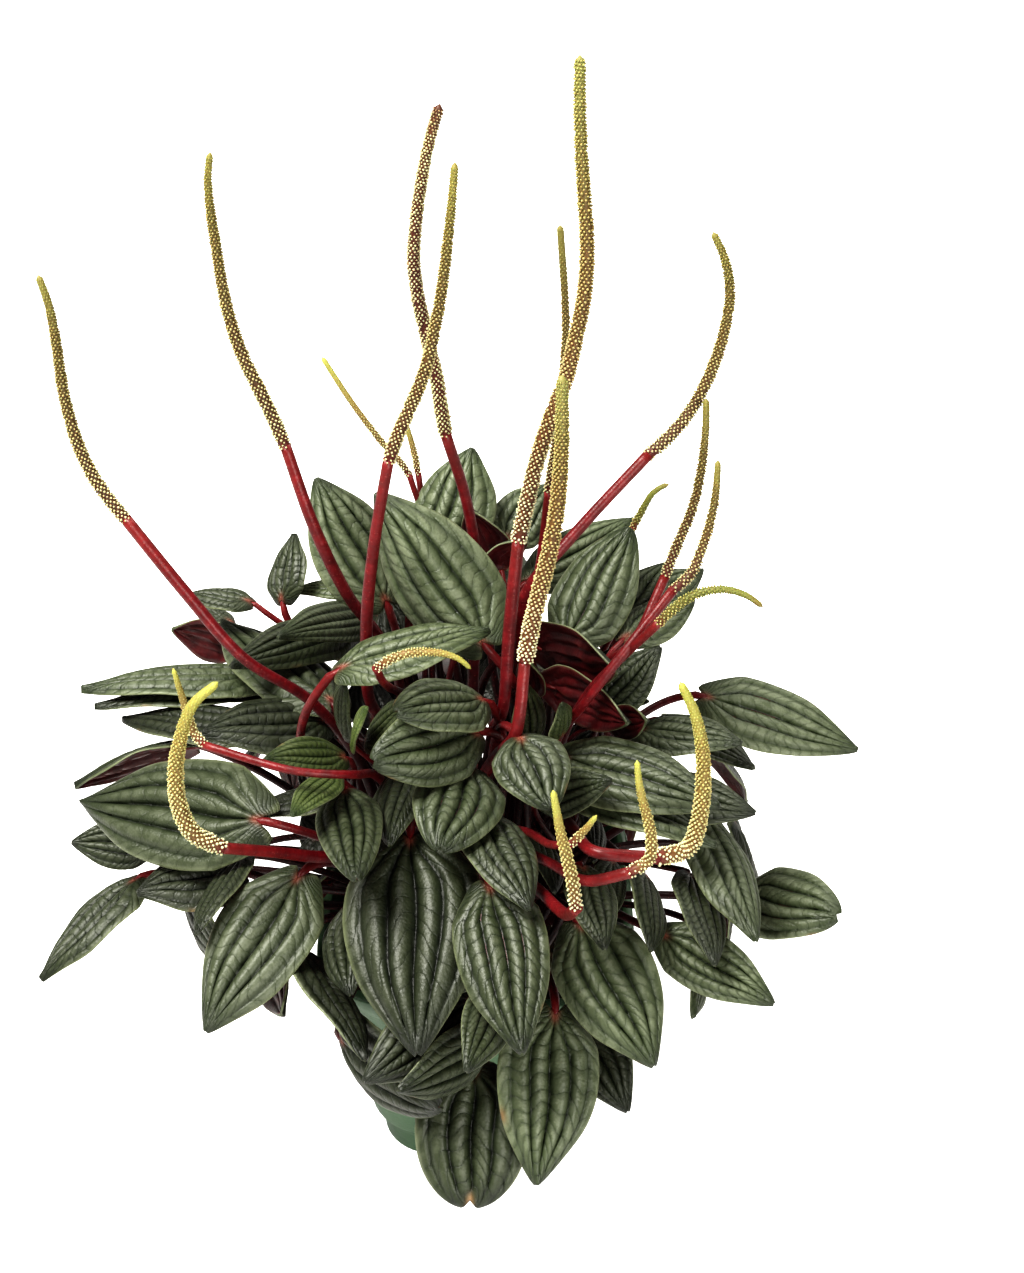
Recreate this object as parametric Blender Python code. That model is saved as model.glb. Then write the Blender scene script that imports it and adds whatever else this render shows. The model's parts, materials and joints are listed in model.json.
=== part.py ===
"""Ripple peperomia (Peperomia caperata) in bloom, in its small square nursery pot.

The plant is a clump of short crowns.  Each crown carries heart-shaped, deeply
corrugated blades on red petioles and the red stalks of its flower spikes.  The
spikes are slim rods covered with tiny florets.

Lengths are in millimetres and MM turns them into Blender's metres where a mesh
is made.  The origin is the middle of the pot's flat bottom, +Z is up, and the
front of the plant faces -Y.

Blades and spikes are laid out on a drawing board that stands before the plant,
as a draughtsman would see it from in front and from BOARD_TILT above: each has
its places on the board, and a dome over the pot, or a distance in front of the
pot's middle, gives the depth.
"""

import itertools
import math

import bmesh
import bpy
import numpy as np
from mathutils.bvhtree import BVHTree

MM = 0.001
GAP = 0.3                    # between pieces that touch

# Pot, a rounded square in plan
POT_HEIGHT = 80.0
POT_TOP_WIDTH = 88.0
POT_FOOT_WIDTH = 57.0
FOOT_HEIGHT = 13.0
FOOT_STEP = 3.2              # how far the wall stands out past the foot
RIM_HEIGHT = 7.0
RIM_OUT = 1.6
RIM_EDGE = 0.6               # rounding of the rim's top edge
FOOT_EDGE = 0.8              # and of the foot's bottom edge
FOOT_FLARE = 1.0             # how much wider the foot is at its top
WALL = 1.3
FLOOR = 1.8
CORNER_ROUND = 0.26          # corner radius over the width
CORNER_POINTS = 3
DRAIN_RADIUS = 3.2
DRAIN_PLACE = 17.5
DRAIN_SIDES = 6
STEP_RISE = 2.0              # height above the foot where the inside starts to slope

# Soil
SOIL_TOP = 73.0
SOIL_CROWN = 2.5             # rise of the soil towards its middle
CROWN_WIDTHS = (0.55, 0.2)   # the rise's two inner edges, over the pot's width there
CROWN_RISE = 0.8             # height of the first of them over the whole rise
SOIL_FOOT_EASE = 1.0         # how much narrower than the pot's inside the soil is at the foot
SOIL_STEP_EASE = 0.6         # just under the foot's step
SOIL_EASE = 0.8              # and above it
SOIL_STEP_TOP = 2.4          # and where the soil has that width

# Crowns: where each short stem stands in the soil
CROWNS = {
    "centre": (1.0, 3.0),
    "front": (-1.0, -17.0),
    "left": (-19.0, -3.0),
    "right": (18.0, -5.0),
    "back_left": (-12.0, 18.0),
    "back_right": (12.0, 17.0),
}
STEM_RADIUS = 4.6
STEM_TOP = 91.0
STEM_DEPTH = 12.0            # how far a stem reaches into the soil
STEM_SIDES = 8
CENTRE_REACH = 22.0          # blades whose bases are nearer the axis grow from the centre crown
SLOT_HEIGHTS = (78.5, 83.0, 87.5)    # where petioles leave a stem
SLOT_INSET = 1.3             # how far inside the stem's surface they start
LOW_BLADE = 95.0             # blades based this low use the lowest places, and HIGH_BLADE the highest
HIGH_BLADE = 145.0
LEVEL_COST = 0.35            # a wrong level against a radian of wrong heading

# Drawing board
BOARD_TILT = math.radians(36.0)
BOARD_REACH = 589.0          # from the eye to the pot's bottom, along the sight line
BOARD_FOCUS = 1900.0         # board units for one unit across at one unit away
BOARD_MIDDLE = np.array([512.0, 636.5])
BOARD_FOOT = np.array([480.0, 1080.0])

# Domes that the blades' bases and tips lie on
DOME_CENTRE = np.array([0.0, 0.0, 92.0])
BASE_DOME = np.array([82.0, 78.0, 66.0])
TIP_DOME = np.array([113.0, 104.0, 84.0])

# Blades
BLADE_THICKNESS = 0.7
BLADE_ARCH = 0.13            # drop of the tip over the length
BLADE_CUP = 0.16             # drop of the edge over the half width
LOBE_REACH = 0.15            # how far the lobes pass behind the petiole, over the length
WIDEST_AT = 0.36
BASE_NARROW = 0.36           # how much narrower the blade is at its base
TIP_POWER = 1.9
TIP_ROUND = 0.86
RIPPLE = 0.055               # height of the ridges over the half width
RIPPLE_PITCH = 0.56          # from groove to groove, over the half width
LARGE_BLADE = 22.0           # widths from which a blade has the finest and the middle grid
MIDDLE_BLADE = 14.5
LARGE_GRID = (9, (0.0, 0.16, 0.48, 0.80, 1.0))    # columns, and the rows' places
MIDDLE_GRID = (5, (0.0, 0.16, 0.48, 0.80, 1.0))
SMALL_GRID = (5, (0.0, 0.30, 0.72, 1.0))
SHORTEST_BLADE = 1.15        # least length over the width
REACH_BACK = 0.8             # share of a short blade's missing length its tip moves along the sight line
FACE_EYE = 0.25              # how far a blade on the dome turns its face to the eye

# Petioles and spikes
PETIOLE_RADIUS = 1.15
PETIOLE_STEPS = 3
PETIOLE_START = 0.8          # radius at the stem over the radius further out
PETIOLE_SHARE = 0.065        # greatest radius over the blade's width
PETIOLE_PULL = 0.30          # how far along the way its curve is pulled at either end
NECK_SPACE = 0.5             # between the notch and the end of the round petiole
NECK_BACK = 0.9              # further room there, over the petiole's radius
NECK_NOTCH = 0.2             # and over the lobes' reach
NECK_UNDER = 0.45            # how far it lies under the blade, over the petiole's radius
NECK_AHEAD = np.array([0.0, 0.86, 0.5])    # the petiole's direction there, across, along and up
NECK_BEND = 0.35             # cosine of the most that the petiole turns at the neck
BOWS = ((0.16, 0.0), (0.04, 0.0), (0.30, 0.0), (0.16, 0.2), (0.16, -0.2), (0.04, 0.28), (0.04, -0.28),
        (0.32, 0.28), (0.32, -0.28), (0.45, 0.0), (-0.08, 0.0))
STALK_RADIUS = 1.5
STALK_STEPS = 6
STALK_RING = 2.7             # radius that a crown's flower stalks stand on
STALKS_ABREAST = 5
STALK_TURN = 2.4             # where on the ring the first stalk stands, in radians
STALK_ROOT = 1.2             # how far below the stem's top a stalk starts
STALK_SHARE = 0.85           # greatest radius over the spike's radius
KNEE_OUT = 0.35              # a stalk's bend above its crown: its share of the way out, and up
KNEE_UP = 0.62
KNEE_LEAST = 8.0             # and the least rise that share is taken of
SPIKE_PITCH = 3.4            # between a spike's rings, over its radius
SPIKE_RINGS = (7, 12)        # least and most of them
FINE_STEPS = 121             # points along a whole stalk and spike while they are laid out
BEAD_RELIEF = 0.13
STOUT_SPIKE = 2.0            # radius from which a spike has eight sides
SPIKE_TIP = 0.35             # radius at the tip over the radius at the base
SPIKE_TAPER = 2.2            # power of the way up that the radius shrinks by
SIDEWAYS = np.array([0.31, 0.87, 0.39])    # a direction that no stalk runs along

# Finding a clear place
CLEARANCE = 0.5
SLOT_ROOM = 0.1              # share of the clearance asked for where a petiole leaves its stem
ROUND_OUT = 1.3              # a placed stalk is remembered this much stouter, corners and beads included
SLIDES = (0, -2.5, 2.5, -5, 5, -8, 8, -11, 11, -15, 14, -20, 18)    # towards the eye or the outside
TWISTS = (0, 12, -12, 25, -25)
NODS = (0, 7, -7, 14)
SHRINKS = (1.0, 0.86, 0.74)
INWARD_COST = 1.5            # a slide inwards counts this much against one outwards
WIDE_FIRST = 0.012           # how much a millimetre of width counts against depth in the order of placing
SPARE_TRIES = 10             # further tries once a place with crossing petioles is known
SHRINK_COST = 90.0           # costs of a whole shrink, and of a degree of nod and of twist, in mm of slide
NOD_COST = 0.9
TWIST_COST = 0.3

# name: base on the board, tip on the board, width, layer, facing
# Layer 1 is on the domes and less is deeper; a place with a third number is that
# many millimetres in front of the pot's middle instead.  Facing is None where the
# blade lies along the dome, or the angle in degrees that its upper side is turned
# up and away from the eye: 90 is edge on, and more shows the underside.
BLADES = {
    "left_back_high": ((282, 600), (285, 546), 17, 0.95, None),
    "left_back_tip": ((250, 602), (188, 586), 13, 0.95, None),
    "left_turned": ((236, 648), (174, 622), 15, 0.93, 140),
    "left_back_small": ((232, 624), (202, 603), 11, 0.97, None),
    "left_broad_high": ((330, 700), (222, 597), 25, 0.95, None),
    "left_dark_narrow": ((350, 630), (243, 645), 17, 1.0, 45),
    "left_pale_narrow": ((375, 615), (295, 617), 15, 1.02, 45),
    "left_young_high": ((370, 588), (290, 580), 12, 0.97, 50),
    "left_long": ((268, 677), (82, 664), 26, 1.02, 68),
    "left_hooked": ((262, 690), (95, 683), 20, 0.96, 80),
    "left_dark_outer": ((262, 730), (122, 716), 20, 0.98, None),
    "left_dark_inner": ((325, 722), (198, 730), 20, 1.03, None),
    "left_red_blade": ((190, 745), (71, 768), 25, 0.96, 104),
    "left_great": ((257, 820), (65, 793), 30, 1.06, None),
    "left_low_tip": ((150, 845), (71, 840), 14, 0.95, None),
    "left_folded": ((135, 880), (30, 965), 22, 0.98, 62),
    "left_under_great": ((240, 872), (140, 880), 20, 0.95, 45),
    "left_dark_low": ((242, 858), (187, 943), 15, 0.97, None),
    "left_pale_low": ((185, 885), (200, 965), 15, 0.88, None),
    "left_low_great": ((298, 878), (198, 1022), 25, 1.05, None),
    "low_red_turned": ((262, 938), (308, 1036), 18, 0.90, 140),
    "low_edge_on": ((300, 948), (380, 1038), 20, 0.93, 70),
    "low_dark_curl": ((350, 905), (330, 975), 17, 0.95, 50),
    "inner_small_front": ((345, 792), (353, 860), 16, 1.14, None),
    "inner_edge_on": ((342, 790), (228, 790), 20, 1.03, 74),
    "inner_olive": ((335, 776), (298, 788), 9, 1.05, None),
    "young_left": ((344, 757), (282, 745), 12, 1.10, 40),
    "young_up": ((353, 744), (353, 706), 9, 1.12, None),
    "young_high": ((343, 735), (333, 687), 11, 1.08, None),
    "young_right": ((366, 742), (397, 699), 11, 1.12, None),
    "centre_bright": ((342, 668, 26), (485, 612, 18), 20, 1.12, 42),
    "centre_round_high": ((482, 700, 26), (405, 700, 40), 18, 1.10, 35),
    "centre_round": ((478, 733, 34), (384, 757, 52), 20, 1.08, 30),
    "centre_cup": ((470, 770, 44), (447, 830, 58), 22, 1.04, 20),
    "centre_small_left": ((410, 762), (380, 828), 16, 0.99, None),
    "front_great": ((410, 840), (412, 1042), 34, 1.07, None),
    "front_second": ((490, 887), (520, 1038), 22, 1.04, None),
    "front_dark": ((478, 812), (532, 890), 17, 0.96, None),
    "centre_heart": ((520, 738, 48), (545, 788, 60), 18, 1.08, 25),
    "front_curled": ((537, 833), (560, 902), 14, 1.0, 50),
    "front_small": ((583, 868), (607, 934), 12, 1.04, None),
    "front_smaller": ((612, 862), (611, 914), 9, 1.0, None),
    "front_narrow": ((587, 800), (596, 862), 11, 1.0, 45),
    "erect_left": ((530, 742), (530, 690), 10, 0.95, None),
    "erect_right": ((560, 737), (557, 690), 12, 0.95, None),
    "erect_top": ((532, 692), (533, 652), 9, 0.95, None),
    "high_red_blade": ((535, 645), (633, 657), 20, 1.07, 112),
    "high_red_curl": ((548, 685), (617, 727), 16, 1.04, 115),
    "high_great": ((482, 642, 6), (372, 497, -12), 28, 1.02, 15),
    "high_left": ((385, 600, -20), (318, 478, -38), 24, 0.96, 15),
    "high_back": ((440, 545, -35), (468, 446, -50), 23, 0.95, 15),
    "high_dark_curl": ((500, 565, -28), (474, 502, -31), 15, 0.97, 140),
    "high_red_strip": ((488, 566, -24), (522, 532, -24), 12, 0.99, 125),
    "high_back_right": ((505, 540, -40), (550, 482, -52), 16, 0.93, 15),
    "high_pale": ((530, 580, -35), (635, 510, -50), 16, 0.95, 20),
    "high_right": ((567, 640, -5), (629, 527, -25), 22, 1.02, 15),
    "high_right_dark": ((620, 620, -10), (668, 555, -25), 14, 0.95, 20),
    "high_right_tip": ((630, 612, -22), (707, 561, -40), 14, 0.95, 20),
    "high_right_low": ((625, 638, -5), (693, 590, -18), 15, 0.98, 25),
    "right_dark_narrow": ((612, 655), (622, 600), 11, 0.96, None),
    "right_dark_high": ((590, 705), (610, 655), 14, 0.96, None),
    "right_fork_high": ((605, 710), (659, 647), 13, 1.01, None),
    "right_fork_low": ((605, 718), (643, 690), 10, 1.01, None),
    "right_great": ((562, 757), (716, 792), 21, 1.06, None),
    "right_second": ((575, 790), (718, 825), 19, 1.02, 35),
    "right_inner_dark": ((540, 800), (600, 780), 12, 0.97, 40),
    "right_far": ((707, 697), (861, 740), 22, 1.0, 25),
    "right_dark_back": ((660, 720), (755, 750), 16, 0.93, None),
    "right_back": ((640, 730), (737, 730), 16, 0.98, None),
    "right_under": ((640, 790), (753, 802), 16, 0.97, 45),
    "right_red_round": ((612, 723), (637, 722), 9, 1.0, 150),
    "right_low_curl": ((703, 812), (767, 922), 18, 1.04, None),
    "right_round": ((745, 895), (828, 908), 21, 0.97, 20),
    "right_low_inner": ((690, 875), (725, 950), 14, 0.98, None),
    "right_pointed": ((663, 935), (771, 998), 16, 1.04, None),
    "right_low_pale": ((700, 930), (712, 1012), 14, 0.94, None),
    "right_inner_low": ((645, 875), (665, 940), 14, 0.93, None),
    "front_right": ((580, 925), (655, 1058), 24, 1.03, None),
    "front_hanging": ((555, 1015), (543, 1185), 25, 1.06, None),
    "front_hanging_dark": ((575, 1010), (620, 1105), 17, 0.98, None),
    "front_round": ((474, 1070), (470, 1205), 28, 1.04, None),
    "low_round": ((342, 1040), (420, 1114), 22, 0.98, None),
    "low_middle": ((470, 1000), (373, 1077), 18, 1.0, None),
    "low_grey": ((490, 1040), (405, 1090), 18, 0.93, None),
    "low_small_curl": ((490, 950), (437, 985), 12, 0.98, None),
    "low_green_rib": ((500, 990), (476, 1060), 13, 0.99, None),
}

# Blades on the far side, spread by golden angle and golden section; angles in degrees
BACK_BLADES = 13
BACK_SEED = 11
GOLDEN_TURN = 137.508
GOLDEN_SHARE = 0.618
BACK_TURNS = (10.0, 160.0)       # first azimuth from +X, and the sector's breadth
BACK_HEIGHTS = (-14.0, 46.0)     # lowest height angle of the bases, and its range
BACK_LENGTHS = (44.0, 12.0)      # least, and range
BACK_WIDTHS = (19.0, 9.0)
BACK_LAYER = 0.92
BACK_HANG = 34.0                 # how much lower than the base the tip hangs
BACK_FACE = 0.2                  # how far the blades turn their faces down

# name: crown, radius, points (board u, board v, distance in front of the axis),
# number of points that are red stalk
SPIKES = {
    "far_left": ("left", 1.75, 4, (
        (225, 645, 12), (195, 605, 8), (160, 560, 4), (124, 517, 0),
        (100, 487, -2), (80, 450, -4), (65, 400, -6), (57, 350, -8), (50, 310, -9), (38, 275, -10))),
    "left_tall": ("back_left", 1.85, 3, (
        (327, 567, -8), (310, 510, -12), (285, 445, -16),
        (262, 395, -18), (240, 350, -20), (225, 300, -22), (215, 240, -24), (208, 190, -25),
        (210, 152, -26))),
    "middle_left": ("centre", 1.75, 4, (
        (365, 700, 12), (368, 620, 8), (372, 560, 6), (388, 462, 4),
        (400, 430, 3), (425, 370, 0), (440, 300, -3), (450, 220, -6), (455, 162, -9))),
    "middle_tall": ("centre", 1.9, 3, (
        (478, 550, -18), (462, 490, -18), (445, 432, -18),
        (437, 380, -18), (425, 330, -18), (414, 270, -18), (416, 220, -18), (425, 160, -18),
        (435, 120, -18), (440, 104, -18))),
    "back_pale": ("back_left", 1.0, 2, (
        (425, 520, -45), (410, 475, -47), (380, 440, -50), (350, 400, -53), (322, 357, -56))),
    "back_tiny": ("back_left", 1.0, 2, (
        (424, 500, -52), (418, 472, -54), (413, 448, -56), (405, 420, -58))),
    "tallest": ("centre", 2.1, 3, (
        (505, 700, 30), (510, 620, 22), (519, 537, 14),
        (530, 490, 11), (545, 430, 8), (560, 400, 6), (575, 340, 3), (585, 290, 1), (587, 240, -1),
        (583, 180, -3), (580, 120, -5), (580, 55, -7))),
    "behind_tall": ("back_right", 1.15, 2, (
        (540, 560, -40), (548, 490, -40), (557, 430, -40), (565, 350, -40), (565, 300, -40),
        (560, 225, -40))),
    "white_beaded": ("front", 2.25, 3, (
        (515, 735, 44), (520, 700, 42), (525, 660, 38),
        (535, 610, 34), (550, 550, 30), (558, 500, 27), (562, 440, 24), (562, 375, 21))),
    "right_tall": ("back_right", 1.75, 4, (
        (530, 580, 6), (570, 540, 0), (610, 490, -6), (648, 455, -10),
        (680, 425, -13), (705, 385, -16), (722, 340, -18), (730, 295, -20), (725, 260, -21),
        (713, 232, -22))),
    "right_small": ("back_right", 1.1, 2, (
        (626, 545, -34), (634, 526, -34), (645, 505, -34), (655, 491, -34), (669, 484, -34))),
    "right_pair_back": ("back_right", 1.4, 3, (
        (630, 645, 12), (645, 620, 8), (665, 577, 3),
        (675, 550, 0), (695, 500, -4), (705, 440, -8), (706, 398, -11))),
    "right_pair_front": ("right", 1.4, 4, (
        (590, 698, 34), (600, 685, 31), (640, 630, 24), (672, 591, 18),
        (690, 575, 15), (705, 540, 11), (715, 500, 8), (718, 460, 5))),
    "right_branch": ("right", 1.25, 2, (
        (640, 640, 29), (660, 622, 29),
        (670, 612, 29), (690, 597, 29), (720, 589, 29), (750, 597, 30), (763, 607, 31))),
    "short_yellow": ("centre", 1.2, 2, (
        (365, 676, 38), (378, 667, 38), (400, 655, 38), (430, 652, 38), (455, 657, 38), (471, 669, 38))),
    "left_hook": ("left", 2.3, 4, (
        (345, 858, 38), (305, 855, 46), (262, 851, 54), (222, 848, 60),
        (200, 840, 61), (185, 820, 60), (176, 790, 58), (178, 750, 56), (190, 710, 54), (205, 690, 53),
        (218, 682, 52))),
    "left_small_hook": ("left", 1.25, 4, (
        (340, 775, 56), (290, 770, 54), (240, 760, 50), (203, 745, 46),
        (194, 733, 44), (183, 700, 42), (173, 668, 40))),
    "right_hook": ("right", 2.3, 2, (
        (597, 853, 70), (660, 858, 66),
        (680, 857, 64), (695, 835, 62), (702, 800, 60), (703, 760, 58), (697, 720, 56), (680, 682, 54))),
    "right_small_hook": ("front", 1.5, 2, (
        (603, 888, 82), (630, 873, 80),
        (645, 865, 79), (652, 850, 78), (648, 820, 76), (640, 790, 74), (637, 760, 72))),
    "front_short": ("front", 1.6, 2, (
        (578, 925, 88), (577, 908, 88), (570, 870, 86), (560, 830, 84), (553, 790, 82))),
    "front_tiny": ("front", 1.1, 2, (
        (565, 852, 78), (573, 842, 78), (585, 830, 78), (597, 815, 78))),
}

COLOURS = {
    "pot_green": ((0.055, 0.115, 0.050), 0.45),
    "soil_brown": ((0.060, 0.040, 0.026), 0.95),
    "blade_green": ((0.115, 0.150, 0.095), 0.42),
    "stalk_red": ((0.430, 0.030, 0.045), 0.38),
    "spike_olive": ((0.330, 0.260, 0.080), 0.60),
}


# ---------------------------------------------------------------- drawing board

FORWARD = np.array([0.0, math.cos(BOARD_TILT), -math.sin(BOARD_TILT)])
UPWARD = np.array([0.0, math.sin(BOARD_TILT), math.cos(BOARD_TILT)])
ASIDE = np.array([1.0, 0.0, 0.0])


def sight(u, v):
    """Direction from the eye through a place on the board, one unit long along FORWARD."""
    across, down = (np.array([u, v]) - BOARD_MIDDLE) / BOARD_FOCUS
    return FORWARD + ASIDE * across - UPWARD * down


EYE = -BOARD_REACH * sight(*BOARD_FOOT)


def on_dome(place, dome, layer):
    """The point of a dome seen at a place on the board, or its nearest if the sight misses it."""
    ray = sight(*place) / (dome * layer)
    start = (EYE - DOME_CENTRE) / (dome * layer)
    a, b, c = ray @ ray, start @ ray, start @ start - 1.0
    reach = (-b - math.sqrt(max(b * b - a * c, 0.0))) / a
    return EYE + sight(*place) * reach


def in_front(u, v, distance):
    """The point seen at a place on the board that lies a distance in front of the pot's axis."""
    ray = sight(u, v)
    return EYE + ray * ((-distance - EYE[1]) / ray[1])


def unit(vector):
    return vector / np.linalg.norm(vector)


def smooth_line(points, count):
    """Points evenly spread along a Catmull-Rom curve through the given points."""
    points = np.asarray(points, float)
    ends = np.vstack([2 * points[0] - points[1], points, 2 * points[-1] - points[-2]])
    fine = []
    for i in range(len(points) - 1):
        p0, p1, p2, p3 = ends[i:i + 4]
        for t in np.linspace(0.0, 1.0, 9)[:-1]:
            fine.append(0.5 * (2 * p1 + (p2 - p0) * t + (2 * p0 - 5 * p1 + 4 * p2 - p3) * t ** 2
                               + (3 * p1 - p0 - 3 * p2 + p3) * t ** 3))
    fine = np.array(fine + [points[-1]])
    run = np.concatenate([[0.0], np.cumsum(np.linalg.norm(np.diff(fine, axis=0), axis=1))])
    stops = np.linspace(0.0, run[-1], count)
    return np.stack([np.interp(stops, run, fine[:, k]) for k in range(3)], axis=1)


# ---------------------------------------------------------------- blades

def half_width(s):
    """Half the blade's width over its greatest, from base (0) to tip (1)."""
    low = 1.0 - BASE_NARROW * np.clip((WIDEST_AT - s) / WIDEST_AT, 0.0, 1.0) ** 2
    high = 1.0 - np.clip((s - WIDEST_AT) / (1.0 - WIDEST_AT), 0.0, 1.0) ** TIP_POWER
    return np.where(s < WIDEST_AT, low, high ** TIP_ROUND)


def blade_surface(s, t, length, width):
    """Points of a blade lying along +Y from the petiole, upper side +Z.

    s runs from base to tip and t from edge to edge.  The lobes reach back past
    the petiole, the tip and the edges drop, and ridges run from base to tip
    between sunken veins.
    """
    half = 0.5 * width
    across = half * t * half_width(s)
    along = length * (s - LOBE_REACH * np.abs(t) ** 1.5 * (1.0 - s) ** 3)
    ridges = -np.cos(2.0 * np.pi * np.abs(t) / RIPPLE_PITCH) * np.sin(np.pi * np.clip(s + 0.08, 0, 1)) ** 0.6
    up = -BLADE_ARCH * length * s ** 2 - BLADE_CUP * half * t ** 2 + RIPPLE * half * ridges
    return np.stack([across, along, up], axis=-1)


def blade_columns(columns):
    """Edge-to-edge places of the grid's columns, one on each groove and each ridge."""
    side = np.append(np.arange((columns - 1) // 2) * 0.5 * RIPPLE_PITCH, 1.0)
    return np.concatenate([-side[:0:-1], side])


def blade_grid(width):
    """(s, t) on the blade's grid."""
    grid = LARGE_GRID if width >= LARGE_BLADE else MIDDLE_GRID if width >= MIDDLE_BLADE else SMALL_GRID
    return np.meshgrid(grid[1], blade_columns(grid[0]), indexing="ij")


def grid_faces(rows, columns):
    """Triangles of a grid, split alike on both halves."""
    corner = np.arange(rows * columns).reshape(rows, columns)
    a, b = corner[:-1, :-1].ravel(), corner[:-1, 1:].ravel()
    c, d = corner[1:, 1:].ravel(), corner[1:, :-1].ravel()
    return np.concatenate([np.stack([a, b, c], 1), np.stack([a, c, d], 1)])


def blade_frame(base, tip, normal):
    """Axes across, along and up of a blade, from its ends and a rough upward direction."""
    along = unit(tip - base)
    up = unit(normal - along * (normal @ along))
    return np.stack([np.cross(along, up), along, up])


def turned(frame, twist, nod):
    """A blade's axes twisted about its length and nodded about its width, in degrees."""
    across, along, up = frame
    c, s = math.cos(math.radians(twist)), math.sin(math.radians(twist))
    across, up = c * across + s * up, c * up - s * across
    c, s = math.cos(math.radians(nod)), math.sin(math.radians(nod))
    return np.stack([across, c * along + s * up, c * up - s * along])


# ---------------------------------------------------------------- clearances

def ring_tube(points, radius, sides=5):
    """Vertices and quads of a plain open tube round a line of points, of one radius or one a point."""
    radius = np.broadcast_to(radius, len(points))[:, None, None]
    ahead = np.gradient(points, axis=0)
    ahead /= np.linalg.norm(ahead, axis=1)[:, None]
    side = np.cross(ahead, SIDEWAYS)
    side /= np.linalg.norm(side, axis=1)[:, None]
    top = np.cross(ahead, side)
    angle = np.arange(sides) * 2.0 * np.pi / sides
    rings = (points[:, None] + radius * (np.cos(angle)[None, :, None] * side[:, None]
                                         + np.sin(angle)[None, :, None] * top[:, None]))
    faces = []
    for i in range(len(points) - 1):
        for j in range(sides):
            k = (j + 1) % sides
            faces.append((i * sides + j, i * sides + k, (i + 1) * sides + k, (i + 1) * sides + j))
    return rings.reshape(-1, 3), faces


def tree_of(shapes):
    """One search tree over several (vertices, faces) shapes."""
    corners, faces = [], []
    for points, cells in shapes:
        start = len(corners)
        corners.extend(points.tolist())
        faces.extend(tuple(int(k) + start for k in cell) for cell in cells)
    return BVHTree.FromPolygons(corners, faces)


def shell_of(points, rows, columns, offset):
    """Upper and lower skins of a blade, each an offset away from its middle surface."""
    grid = points.reshape(rows, columns, 3)
    normal = np.cross(np.gradient(grid, axis=1), np.gradient(grid, axis=0))
    normal /= np.maximum(np.linalg.norm(normal, axis=2), 1e-9)[..., None]
    skins = np.concatenate([(grid + offset * normal).reshape(-1, 3), (grid - offset * normal).reshape(-1, 3)])
    faces = grid_faces(rows, columns)
    return skins, np.concatenate([faces, faces + rows * columns])


class Garden:
    """What is already placed, and whether a new piece is clear of it."""

    def __init__(self):
        self.placed = {}
        self.taken = {name: set() for name in CROWNS}
        self.trees = {}

    def add(self, group, shape):
        self.placed.setdefault(group, []).append(shape)
        self.trees.pop(group, None)

    def touches(self, shape, among=None, but=()):
        """How many pairs of faces of a shape meet the placed groups, some of them left out."""
        probe = tree_of([shape])
        hits = 0
        for group in among or self.placed:
            if group in but or group not in self.placed:
                continue
            if group not in self.trees:
                self.trees[group] = tree_of(self.placed[group])
            hits += len(probe.overlap(self.trees[group]))
        return hits

    def slot(self, crown, target):
        """The free place on a crown's stem that faces a target best: its side and height."""
        x, y = CROWNS[crown]
        heading = math.atan2(target[1] - y, target[0] - x)
        share = np.clip((target[2] - LOW_BLADE) / (HIGH_BLADE - LOW_BLADE), 0.0, 1.0)
        rise = share * (len(SLOT_HEIGHTS) - 1)
        best = None
        for side in range(STEM_SIDES):
            for level in range(len(SLOT_HEIGHTS)):
                if (side, level) in self.taken[crown]:
                    continue
                turn = 2 * math.pi * (side + 0.5) / STEM_SIDES - heading
                away = abs((turn + math.pi) % (2 * math.pi) - math.pi)
                cost = away + LEVEL_COST * abs(level - rise)
                if best is None or cost < best[0]:
                    best = (cost, side, level)
        return best[1:]


def slot_place(crown, slot):
    """The middle of a place on a stem, a little inside its surface."""
    x, y = CROWNS[crown]
    turn = 2 * math.pi * (slot[0] + 0.5) / STEM_SIDES
    reach = STEM_RADIUS - SLOT_INSET
    return np.array([x + reach * math.cos(turn), y + reach * math.sin(turn), SLOT_HEIGHTS[slot[1]]])


def crown_of(point, taken):
    """The crown that a blade grows from: the one whose side of the plant it is on, if it has room."""
    heading = unit(point[:2])
    outer = {name: unit(np.array(place)) for name, place in CROWNS.items() if name != "centre"}
    ranked = sorted(outer, key=lambda name: -(outer[name] @ heading))
    if np.hypot(point[0], point[1]) < CENTRE_REACH:
        ranked.insert(0, "centre")
    return next(name for name in ranked if len(taken[name]) < STEM_SIDES * len(SLOT_HEIGHTS))


def neck_place(base, frame, length, width):
    """Where the petiole widens into the blade: a little behind and under the notch."""
    radius = petiole_radius(width)
    back = NECK_BACK * radius + NECK_NOTCH * LOBE_REACH * length + NECK_SPACE
    return base - frame[1] * back - frame[2] * NECK_UNDER * radius


def turn_cost(turn):
    """How much a (shrink, nod, twist, shift) changes a blade, the turn itself breaking ties."""
    shrink, nod, twist, shift = turn
    slid = abs(shift) * (INWARD_COST if shift < 0 else 1.0)
    return round((1.0 - shrink) * SHRINK_COST + abs(nod) * NOD_COST + abs(twist) * TWIST_COST + slid, 3), turn


def mouth_width(width):
    """Half the width of the place on a blade's edge that its petiole runs into."""
    return 0.5 * width * 0.5 * RIPPLE_PITCH * half_width(0.0)


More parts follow.
